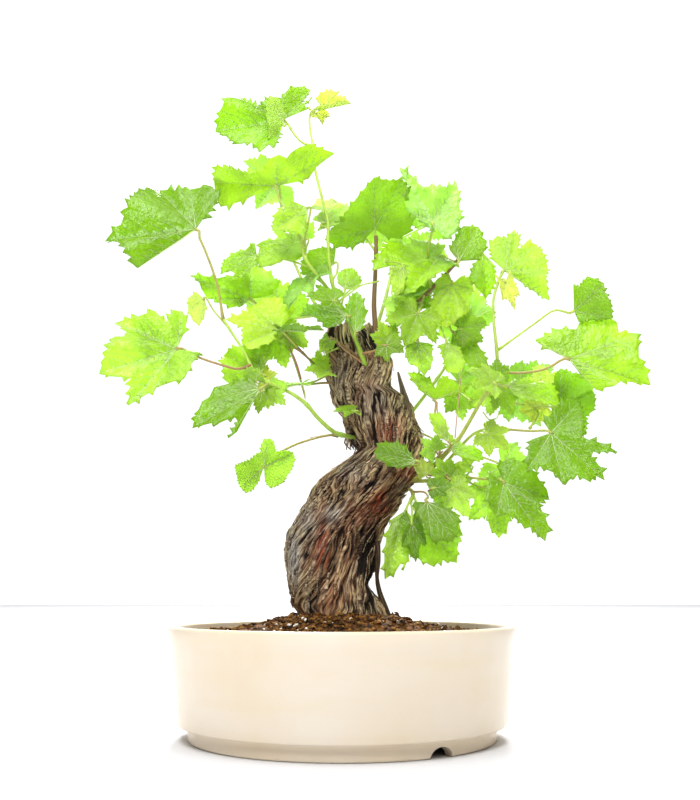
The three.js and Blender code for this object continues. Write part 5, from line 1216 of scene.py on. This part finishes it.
trunk_left = np.array([seen([left, row, 0]) for row, left, right in TRUNK_EDGES])
trunk_right = np.array([seen([right, row, 0]) for row, left, right in TRUNK_EDGES])
ROW_HEIGHTS = trunk_left[:, 2]
ROW_MIDDLES = (trunk_left[:, 0] + trunk_right[:, 0]) / 2
ROW_HALVES = (trunk_right[:, 0] - trunk_left[:, 0]) / 2
SOIL_LINE = ROW_HEIGHTS[0]
TRUNK_TOP = ROW_HEIGHTS[-1]


def smooth_rows(z, values):
    """Values between the trunk's rows, with an even slope at each of them."""
    k = np.clip(np.searchsorted(ROW_HEIGHTS, z, side="right") - 1, 0, len(values) - 2)
    share = smoothstep((z - ROW_HEIGHTS[k]) / (ROW_HEIGHTS[k + 1] - ROW_HEIGHTS[k]), 0, 1)
    return values[k] + (values[k + 1] - values[k]) * share


def ridges(around, up, z_run, seed):
    """Noise for a grid of fibre angles and heights, where up sets how many fibres go round."""
    out = np.zeros(around.shape)
    for place, angle in np.ndenumerate(around):
        at = Vector((math.cos(angle) * up + seed, math.sin(angle) * up, z_run[place]))
        out[place] = noise.noise(at)
    return out


def trunk_grid():
    """The bark's points by level and turn, their outward directions and their colour values."""
    z = np.concatenate([
        np.linspace(TRUNK_FOOT, SOIL_LINE - 6, BURIED_LEVELS, endpoint=False),
        np.linspace(SOIL_LINE - 6, TRUNK_TOP, LEVELS),
    ])[:, None]
    turn = (np.arange(TURNS) * 2 * math.pi / TURNS)[None, :]
    held = np.maximum(z, SOIL_LINE)
    middle = smooth_rows(held, ROW_MIDDLES)
    half = smooth_rows(held, ROW_HALVES)
    height = (z - SOIL_LINE) / (TRUNK_TOP - SOIL_LINE)
    showing = smoothstep(z, SOIL_LINE - 4, SOIL_LINE + 10)
    angle = turn + TWIST * (z - SOIL_LINE)
    drift = 0.3 * np.sin(z / 21 + 2 * np.cos(turn)) + 0.08 * np.sin(z / 9 + 3 * np.sin(turn))
    fibre = turn + drift * showing
    plate = np.abs(np.sin(PLATES * fibre / 2))
    groove = -GROOVE * (1 - plate) ** 2 * (1 - 0.35 * height)
    lump = 1.3 * np.sin(3 * angle + z / 31) + 1.1 * np.sin(5 * angle - z / 17)
    near = np.maximum(0, np.cos(angle + 0.9)) ** 3
    dent = -DENT * near * smoothstep(z, TRUNK_TOP - DENT_HEIGHT, TRUNK_TOP)
    zz = np.broadcast_to(z, fibre.shape)
    layers = [ridges(fibre, around, zz / high, start) for around, high, start, _, _ in FIBRES]
    crest = sum(share * (1 - np.exp(-(layer / wide) ** 2))
                for layer, (_, _, _, wide, share) in zip(layers, FIBRES))
    relief = 3.4 * layers[0] + 1.6 * layers[1] + 3.8 * (crest - 0.6)
    slit = -SLIT_DEPTH * np.exp(-(((z - SLIT_HEIGHT) / SLIT_REACH) ** 2))
    slit = slit * np.maximum(0, np.cos(angle)) ** 5
    hollow = -HOLLOW_DEPTH * np.exp(-(((z - HOLLOW_HEIGHT) / HOLLOW_REACH) ** 2))
    slit = slit + hollow * np.maximum(0, np.cos(angle + HOLLOW_ANGLE)) ** 12
    outward = showing * (groove * 0.8 + lump + dent + relief) + slit
    across = half * (0.98 - 0.06 * height)
    deep = TRUNK_DEEP - TRUNK_THINNING * height
    sway = showing * TRUNK_LEAN * np.sin(5 * height)
    x = middle + np.cos(angle) * (across + outward)
    y = sway + np.sin(angle) * (deep + outward)
    points = np.stack([x, y, zz + 0 * x], axis=2)
    facing = np.stack([np.cos(angle) + 0 * x, np.sin(angle) + 0 * x, 0 * x], axis=2)
    # Painted light and shade: light on the crests of the fibres and plates, shade in the furrows,
    # with coarse changes of tone
    crest_light = np.clip(crest * 1.25 - 0.25 + plate * 0.15 + 0.4 * layers[0], 0, 1)
    grain = np.stack([np.cos(fibre) * 30, np.sin(fibre) * 30, zz / 11], axis=2)
    return points, facing, crest_light, grain


def patches(points, rows):
    """How far each point lies in the listed patches of the front, or in their like behind."""
    x, y, z = points[..., 0], points[..., 1], points[..., 2]
    total = np.zeros(x.shape)
    for column, row, wide, high, strength in rows:
        for depth, mirror in ((-20, 1), (20, -1)):
            middle = seen([column, row, depth])
            gap = (((x - middle[0]) / (wide * PATCH_SCALE)) ** 2
                   + ((z - middle[2]) / (high * PATCH_SCALE)) ** 2)
            side = smoothstep(-y * mirror, -6, 6)
            total = np.maximum(total, strength * np.exp(-gap * 0.8) * side)
    return total


def build_trunk():
    """The furrowed trunk with its broken top, and the grid that the loose strips start from."""
    points, facing, crest_light, grain = trunk_grid()
    crest_light = crest_light * (1 - DARKENING * patches(points, SHADE_AND_DARK_PATCHES))
    red = patches(points, RED_PATCHES)
    grey = patches(points, GREY_PATCHES)
    levels = points.shape[0]
    turns = np.arange(TURNS) * 2 * math.pi / TURNS
    jag = 2.4 * np.sin(4 * turns) + 1.6 * np.sin(9 * turns) + 1.1 * np.sin(23 * turns + 1)
    blend = smoothstep(np.arange(levels), levels - 9, levels - 1)[:, None]
    points[:, :, 2] += jag[None, :] * blend
    # The broken top sinks towards its middle in steps of torn fibre
    crown = points[-1]
    middle = crown.mean(axis=0)
    middle[2] = TRUNK_TOP - CROWN_DIP
    rings = []
    for share in CROWN_SHARES:
        ring = middle + (crown - middle) * share
        for spot in ring:
            at = Vector((spot[0] / 4, spot[1] / 4, share * 3))
            spot[2] += 5 * noise.noise(at) - 3 * math.sin(math.pi * share)
        rings.append(ring)
    start = levels * TURNS
    last = start + (len(rings) - 1) * TURNS
    every = np.vstack([points.reshape(-1, 3), *rings, [middle], [[ROW_MIDDLES[0], 0, TRUNK_FOOT]]])
    faces = ring_walls(levels + len(rings), TURNS)
    for i in range(TURNS):
        j = (i + 1) % TURNS
        faces.append((last + i, last + j, len(every) - 2))
        faces.append((j, i, len(every) - 1))
    extra = len(every) - start
    # The broken top and the cap under the buried foot get a low light value, so the top is painted
    # near black as the shade of its hollow
    values = {
        "bark_height": np.concatenate([crest_light.ravel(), np.full(extra, 0.35)]),
        "bark_red": np.concatenate([red.ravel(), np.zeros(extra)]),
        "bark_grey": np.concatenate([grey.ravel(), np.full(extra, 0.15)]),
        "grain_place": np.vstack([grain.reshape(-1, 3), every[start:] / 1.5]),
    }
    trunk = make_piece("trunk_bark", every, faces, BARK, values)
    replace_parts(trunk, "trunk")
    return points, facing, red, grey, grain


def put_bark(heap, points, faces, height, red, grey, grain):
    """Adds a strip or a stick of bark. Its height, the value of painted light and tone, red and
    grey are one value or one a point.
    """
    count = len(points)
    heap.put(points, faces, bark_height=np.full(count, height), bark_red=np.full(count, red),
             bark_grey=np.full(count, grey), grain_place=grain)


def stick_grain(points, sides, width):
    """The place of each point of a round stick in the fibres of the bark."""
    ring = np.arange(len(points)) % sides * 2 * math.pi / sides
    heights = np.array(points)[:, 2]
    return np.stack([np.cos(ring) * width, np.sin(ring) * width, heights / 11], axis=1)


def loose_strip(heap, dice, points, facing, red, grey, grain):
    """A strip of bark that has come loose at one end and curls away from the trunk."""
    turn = dice.randrange(TURNS)
    run = dice.randint(20, 64)
    first = dice.randint(BURIED_LEVELS + 6, points.shape[0] - run - 4)
    wide = dice.uniform(0.4, 1.7)
    thick = dice.uniform(0.2, 0.5)
    loose = dice.uniform(0.4, 2.6) if dice.random() < 0.45 else dice.uniform(0.1, 0.6)
    flip = dice.random() < 0.5
    drift = dice.uniform(-5, 5)
    corners = []
    spots = []
    for k in range(SHRED_STEPS + 1):
        share = k / SHRED_STEPS
        level = first + int(run * share)
        at = int(turn + drift * math.sin(share * 2.2)) % TURNS
        out = facing[level, at]
        side = points[level, (at + 2) % TURNS] - points[level, at - 2]
        side = side / max(np.linalg.norm(side), 1e-6)
        end = 1 - share if flip else share
        middle = points[level, at] + out * (0.15 + loose * end**2.5)
        width = wide * (0.35 + 0.65 * math.sin(math.pi * min(max(share, 0.08), 0.92)))
        corners.extend([middle - side * width, middle + out * thick, middle + side * width,
                        middle - out * thick])
        spots.extend([(level, at)] * 4)
    tone = dice.uniform(0.45, 1)
    level, at = np.array(spots).T
    put_bark(heap, corners, tube_faces(SHRED_STEPS + 1, 4, turned=True), height=tone,
             red=red[level, at] * 0.7, grain=grain[level, at],
             grey=np.clip(grey[level, at] + dice.uniform(0, 0.25), 0, 1))


def hanging_strip(heap, dice):
    """A torn strip that hangs under the crook."""
    column, row, depth = dice.uniform(347, 359), dice.uniform(420, 437), dice.uniform(-14, 2)
    drop = min(row + dice.uniform(8, 20), HANGING_LOW)
    places = [[column + 6, row - 6, depth + 2], [column, row + 1, depth],
              [column + dice.uniform(-3, 3), (row + drop) / 2, depth - 1],
              [column + dice.uniform(-2, 6), drop, depth]]
    line = curve_points([seen(p) for p in places], 8)
    strip, faces = tube(line, [1.1 - 0.09 * k for k in range(9)], 5)
    put_bark(heap, strip, faces, height=dice.uniform(0.35, 0.8), red=0.15,
             grey=dice.uniform(0, 0.4), grain=np.array(strip) / 3)


def build_shreds(*bark):
    """Loose and hanging strips of bark, the root strand on the right and the splinter above it."""
    dice = random.Random(5)
    heap = Heap()
    for _ in range(SHREDS):
        loose_strip(heap, dice, *bark)
    for _ in range(HANGING):
        hanging_strip(heap, dice)
    line = curve_points([seen(p) for p in STRAND], STRAND_STEPS)
    shares = [k / STRAND_STEPS for k in range(STRAND_STEPS + 1)]
    radii = [STRAND_RADIUS + 2 * abs(s - 0.45) ** 0.8 for s in shares]
    strand, faces = tube(line, radii, STRAND_SIDES)
    put_bark(heap, strand, faces, height=0.42, red=0.2, grey=0.05,
             grain=stick_grain(strand, STRAND_SIDES, 3))
    line = curve_points([seen(p) for p in SPLINTER], SPLINTER_STEPS)
    shares = [k / SPLINTER_STEPS for k in range(SPLINTER_STEPS + 1)]
    radii = [SPLINTER_RADIUS - 5 * s ** 0.6 for s in shares]
    spike, faces = tube(line, radii, SPLINTER_SIDES)
    for n, point in enumerate(spike):
        k, i = divmod(n, SPLINTER_SIDES)
        turn = 2 * math.pi * i / SPLINTER_SIDES
        furrow = noise.noise(Vector((3 * math.cos(turn), 3 * math.sin(turn), k / 9)))
        spike[n] = line[k] + (point - line[k]) * (1 + SPLINTER_FURROW * furrow)
    put_bark(heap, spike, faces, height=0.5, red=0.1, grey=0.15,
             grain=stick_grain(spike, SPLINTER_SIDES, 6))
    heap.piece("trunk_shreds", BARK, "bark")


build_shreds(*build_trunk())

# Soil

SOIL_TURNS = 220
SOIL_RINGS = 62
SOIL_SIDE = [45, 23, 17]  # heights of the rings down its side and under it
BARE_OVAL = (34, 27)  # half widths round the trunk's foot where nothing is strewn
# Strewn lumps: how many, fineness of the mesh, least and greatest size, stretch, how they gather
# in the middle or at the wall, and how far they stand out
CRUMB_KINDS = [
    [1500, 1, 1.2, 3.2, 1.6, 0.55, 0.15], [420, 1, 2.6, 5.2, 1.9, 0.55, 0.15],
    [260, 1, 1, 1.8, 7, 0.55, 0.3],
]
PERLITE_KINDS = [[46, 2, 1.6, 3.4, 1.3, 1.3, 0.2], [90, 2, 1.2, 2.8, 1.3, 0.6, 0.05]]


def soil_height(x, y):
    reach = math.hypot(x - ROW_MIDDLES[0], y)
    mound = SOIL_MOUND * math.exp(-((reach / SOIL_SPREAD) ** 2))
    clods = 0.9 * math.sin(x / 6.1 + 1) * math.cos(y / 5.3) + 0.7 * math.sin(x / 11 - y / 8)
    return SOIL_EDGE + mound + clods


def inner_wall(z):
    """The radius of the pot's inside at a height."""
    share = (z - FLOOR_TOP - 6) / (POT_HEIGHT - 1.2 - FLOOR_TOP - 6)
    low, high = WALL_FOOT_RADIUS - WALL, RIM_RADIUS - WALL
    return low + (high - low) * share


def rough_soil(x, y):
    at = Vector((x, y, 0))
    lumps = 1.5 * noise.noise(at / 7) + 0.9 * noise.noise(at / 2.9 + Vector((9, 4, 2)))
    return soil_height(x, y) + lumps + 0.5 * noise.noise(at / 1.3)


def soil_ring(radius, shift):
    """The columns of one ring of the soil, turned by half a step where shift is 1."""
    turns = [2 * math.pi * (i + 0.5 * shift) / SOIL_TURNS for i in range(SOIL_TURNS)]
    return [(radius * math.cos(turn), radius * math.sin(turn)) for turn in turns]


def build_soil():
    reach = inner_wall(SOIL_EDGE) - 0.15
    points = [[0, 0, rough_soil(0, 0)]]
    for r in range(1, SOIL_RINGS + 1):
        edge = float(1 - smoothstep(r / SOIL_RINGS, 0.93, 1.0))
        for x, y in soil_ring(reach * (r / SOIL_RINGS) ** 0.8, r % 2):
            z = SOIL_EDGE + (rough_soil(x, y) - SOIL_EDGE) * edge - (1 - edge) * 0.8
            points.append([x, y, z])
    for z in SOIL_SIDE:
        ring = soil_ring(inner_wall(z) - (0.2 if z > SOIL_SIDE[-1] + 3 else 6), SOIL_RINGS % 2)
        points.extend([x, y, z] for x, y in ring)
    points.append([0, 0, SOIL_SIDE[-1]])
    pairs = [(i, (i + 1) % SOIL_TURNS) for i in range(SOIL_TURNS)]
    last = len(points) - 1 - SOIL_TURNS
    faces = [(0, 1 + i, 1 + j) for i, j in pairs]
    faces += [(a + i, a + SOIL_TURNS + i, a + SOIL_TURNS + j, a + j)
              for a in range(1, last, SOIL_TURNS) for i, j in pairs]
    faces += [(last + i, len(points) - 1, last + j) for i, j in pairs]
    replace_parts(make_piece("soil_surface", points, faces, SOIL), "soil")


def lump_shape(detail):
    """Points and faces of a ball of small triangles."""
    ball = bmesh.new()
    bmesh.ops.create_icosphere(ball, subdivisions=detail, radius=1)
    points = np.array([v.co[:] for v in ball.verts])
    faces = [tuple(v.index for v in f.verts) for f in ball.faces]
    ball.free()
    return points, faces


def scatter(heap, dice, count, detail, low, high, stretch, spread, rise):
    """Strews lumps over the soil between the trunk and the wall."""
    points, faces = lump_shape(detail)
    reach = inner_wall(SOIL_EDGE) - 3
    placed = 0
    while placed < count:
        turn = dice.uniform(0, 2 * math.pi)
        radius = reach * dice.random() ** spread
        x = ROW_MIDDLES[0] * (1 - radius / reach) + radius * math.cos(turn)
        y = radius * math.sin(turn)
        near = ((x - ROW_MIDDLES[0]) / BARE_OVAL[0]) ** 2 + (y / BARE_OVAL[1]) ** 2 < 1
        if near or math.hypot(x, y) > reach:
            continue
        placed += 1
        size = dice.uniform(low, high)
        rough = np.array([dice.uniform(0.7, 1.25) for _ in points])[:, None]
        scale = [dice.uniform(1, stretch), dice.uniform(0.6, 1), dice.uniform(0.5, 0.9)]
        spin = Matrix.Rotation(dice.uniform(0, 6.28), 3, "Z") @ Matrix.Rotation(
            dice.uniform(-0.5, 0.5), 3, "X") @ Matrix.Rotation(dice.uniform(-0.4, 0.4), 3, "Y")
        body = (points * rough * scale * size / 2) @ np.array(spin).T
        heap.put(body + [x, y, rough_soil(x, y) + size * rise], faces)


build_soil()
soil_dice = random.Random(77)
crumbs = Heap()
for kind in CRUMB_KINDS:
    scatter(crumbs, soil_dice, *kind)
crumbs.piece("soil_crumbs", CRUMB, "soil", smooth=False)
grains = Heap()
for kind in PERLITE_KINDS:
    scatter(grains, soil_dice, *kind)
grains.piece("perlite_grains", PERLITE, "soil")

# Pot

POT_TURNS = 160
CUT_SIDES = 48
ARCH_DROP = 0.4  # of the arch's middle below the foot
SMOOTH_UNDER = math.radians(40)


def only(piece=None):
    """Selects one piece, or none."""
    for one in bpy.context.selected_objects:
        one.select_set(False)
    if piece:
        bpy.context.view_layer.objects.active = piece
        piece.select_set(True)


def settle(piece):
    """Puts a piece's place and size into its mesh."""
    only(piece)
    bpy.ops.object.transform_apply(location=True, rotation=True, scale=True)


def arc(middle, radius, first, last, steps):
    """Points of a rounded edge in the pot's profile, as radius and height."""
    turns = [math.radians(first + (last - first) * k / steps) for k in range(steps + 1)]
    return [(middle[0] + radius * math.cos(t), middle[1] + radius * math.sin(t)) for t in turns]


def pot_profile():
    """Half section of the pot from the middle of its underside round to the middle of its floor."""
    inner_rim = RIM_RADIUS - WALL
    inner_low = WALL_FOOT_RADIUS - WALL
    ring_inside = FOOT_RADIUS - RING_WIDTH
    wall = []
    for k in range(1, 10):
        share = k / 10
        swell = 0.5 * math.sin(math.pi * share)
        wall.append((WALL_FOOT_RADIUS + (RIM_RADIUS - WALL_FOOT_RADIUS) * share + swell * 0.6,
                     FOOT_HEIGHT + 2 + (POT_HEIGHT - 5 - FOOT_HEIGHT) * share))
    return [
        (ring_inside, FLOOR_LOW), (ring_inside + 0.6, 1.2),
        *arc((ring_inside + 1.8, 1.2), 1.2, 180, 270, 3),
        *arc((FOOT_RADIUS - 1.4, 1.4), 1.4, 270, 355, 4),
        (FOOT_RADIUS + 0.3, 6), (FOOT_RADIUS + 0.8, FOOT_HEIGHT - 1.6),
        (FOOT_RADIUS + 1.6, FOOT_HEIGHT - 0.7), (FOOT_RADIUS + 3.2, FOOT_HEIGHT - 0.2),
        *arc((WALL_FOOT_RADIUS - 1.6, FOOT_HEIGHT + 1.6), 1.6, 275, 350, 4),
        *wall,
        *arc((RIM_RADIUS - 2, POT_HEIGHT - 2), 2, 5, 80, 5),
        (RIM_RADIUS - WALL / 2, POT_HEIGHT + 0.05),
        *arc((inner_rim + 2, POT_HEIGHT - 2), 2, 100, 175, 5),
        (inner_low + 2.5, 40), (inner_low, FLOOR_TOP + 6),
        *arc((inner_low - 6, FLOOR_TOP + 6), 6, -10, -90, 4),
    ]


def cutter(place, rotation, wide, high, depth):
    """A round or oval tool that cuts a hole, with its axis along depth."""
    bpy.ops.mesh.primitive_cylinder_add(vertices=CUT_SIDES, radius=1, depth=1)
    tool = bpy.context.active_object
    tool.scale = (wide * MM, high * MM, depth * MM)
    tool.rotation_euler = rotation
    tool.location = AXIS + Vector(place) * MM
    settle(tool)
    return tool


def build_pot():
    profile = pot_profile()
    radius, z = profile[0]
    only()
    bpy.ops.mesh.primitive_circle_add(vertices=POT_TURNS, radius=radius * MM,
                                      location=(0, 0, z * MM), fill_type="NGON")
    pot = bpy.context.active_object
    pot.name = "glazed_pot"
    pot.data.name = "glazed_pot"
    settle(pot)
    bpy.ops.object.mode_set(mode="EDIT")
    bpy.ops.mesh.select_mode(type="EDGE")
    bpy.ops.mesh.select_all(action="SELECT")
    bpy.ops.mesh.region_to_loop()
    for (r0, z0), (r1, z1) in zip(profile, profile[1:]):
        bpy.ops.mesh.extrude_edges_indiv()
        bpy.ops.transform.resize(value=(r1 / r0, r1 / r0, 1))
        bpy.ops.transform.translate(value=(0, 0, (z1 - z0) * MM))
    bpy.ops.mesh.edge_face_add()
    bpy.ops.mesh.select_all(action="SELECT")
    bpy.ops.mesh.normals_make_consistent(inside=False)
    bpy.ops.object.mode_set(mode="OBJECT")
    pot.location = AXIS
    settle(pot)
    cuts = []
    for turn in (ARCH_ANGLE, ARCH_ANGLE + 180):
        bearing = math.radians(turn)
        out = (math.sin(bearing) * FOOT_RADIUS, -math.cos(bearing) * FOOT_RADIUS, -ARCH_DROP)
        cuts.append(cutter(out, (math.pi / 2, 0, bearing), ARCH_WIDTH / 2, ARCH_HEIGHT + ARCH_DROP,
                           30))
    for side in (-1, 1):
        place = (side * DRAIN_OFFSET, 0, (FLOOR_LOW + FLOOR_TOP) / 2)
        cuts.append(cutter(place, (0, 0, 0), DRAIN_RADIUS, DRAIN_RADIUS, 12))
    for tool in cuts:
        cut = pot.modifiers.new("cut", "BOOLEAN")
        cut.operation = "DIFFERENCE"
        cut.solver = "EXACT"
        cut.object = tool
        only(pot)
        bpy.ops.object.modifier_apply(modifier=cut.name)
        bpy.data.objects.remove(tool)
    only(pot)
    bpy.ops.object.shade_smooth_by_angle(angle=SMOOTH_UNDER)
    # The glaze ran thin on the lip and pooled above the foot
    heights = np.array([v.co.z for v in pot.data.vertices]) / MM
    reach = np.array([math.hypot(v.co.x - AXIS.x, v.co.y - AXIS.y) for v in pot.data.vertices]) / MM
    outside = smoothstep(reach, 96, 104)
    foot = (1 - smoothstep(heights, 9, 14)) * 0.2
    lip = smoothstep(heights, POT_HEIGHT - 2.5, POT_HEIGHT) * 0.35
    warm = np.clip(foot + lip, 0, 1) * outside
    edge = pot.data.attributes.new("edge", "FLOAT", "POINT")
    edge.data.foreach_set("value", warm.astype(np.float32))
    pot.data.materials.clear()
    pot.data.materials.append(GLAZE)
    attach(pot, BODY)
    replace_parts(pot, "pot")


build_pot()
for side in ("left", "right"):
    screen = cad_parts["drain_screen_" + side]
    for place in screen.material_slots:
        place.material = SCREEN

# Studio

# Lamps: name, place, point that it is turned to, width, height and power in watts
SOFTBOXES = [
    ["key_softbox", (-0.15, -1.3, 1.3), (0, 0, 0.2), 0.5, 0.5, 18.5],
    ["left_strip", (-1.15, -0.62, 0.3), (0, 0, 0.08), 0.06, 0.6, 0.05],
    ["right_strip", (1.15, -0.72, 0.35), (0, 0, 0.1), 0.06, 0.5, 0.04],
    ["top_softbox", (-0.1, -0.45, 1.6), (0, 0, 0.3), 0.9, 0.9, 11.5],
    ["back_softbox", (0.07, 1.3, 1.3), (0, 0, 0.33), 0.9, 0.6, 60],
    ["backdrop_softbox", (0, 2.2, 2.2), (0, 6, 0), 0.6, 0.6, 240],
]

only()
bpy.ops.mesh.primitive_plane_add(size=12, location=(AXIS.x, 0, -0.0002))
floor = bpy.context.active_object
floor.name = "studio_floor"
floor.data.materials.append(PAPER)


def softbox(name, place, aim, width, height, power):
    """A soft lamp at a place in metres about the pot, turned to a point."""
    data = bpy.data.lights.new(name, "AREA")
    data.shape = "RECTANGLE"
    data.size = width
    data.size_y = height
    data.energy = power
    lamp = bpy.data.objects.new(name, data)
    lamp.location = AXIS + Vector(place)
    lamp.rotation_euler = (Vector(aim) - Vector(place)).to_track_quat("-Z", "Y").to_euler()
    bpy.context.scene.collection.objects.link(lamp)


for lamp in SOFTBOXES:
    softbox(*lamp)

# The world is white behind the plant and overhead, and dim elsewhere
world = bpy.data.worlds.new("studio")
bpy.context.scene.world = world
world.use_nodes = True
world.node_tree.nodes.clear()
sky_out = add(world, "OutputWorld")
sky_place = add(world, "TexCoord", out="Generated")
sky_parts = add(world, "SeparateXYZ", {0: sky_place}, out="Y")
sky_depth = add(world, "MapRange", {
    "Value": sky_parts, LOW: 0.66, HIGH: 0.82, TO_LOW: 0.16, TO_HIGH: 1.15,
}, interpolation_type="SMOOTHSTEP")
sky_lift = add(world, "MapRange", {
    "Value": sky_parts.node.outputs["Z"], LOW: 0.25, HIGH: 0.95, TO_LOW: 0, TO_HIGH: 0.65,
}, interpolation_type="SMOOTHSTEP")
sky_share = add(world, "Math", {0: sky_depth, 1: sky_lift}, operation="ADD")
sky_white = add(world, "MapRange", {"Value": sky_depth, LOW: 0.42, HIGH: 1})
sky_colour = add(world, "Mix", {
    FACTOR: sky_white, FIRST: (1, 0.99, 0.975, 1), SECOND: (1, 1, 1, 1),
}, **COLOURS)
sky = add(world, "Background", {"Color": sky_colour, "Strength": sky_share})
world.node_tree.links.new(sky, sky_out.inputs[0])
bpy.context.scene.view_settings.view_transform = "Standard"

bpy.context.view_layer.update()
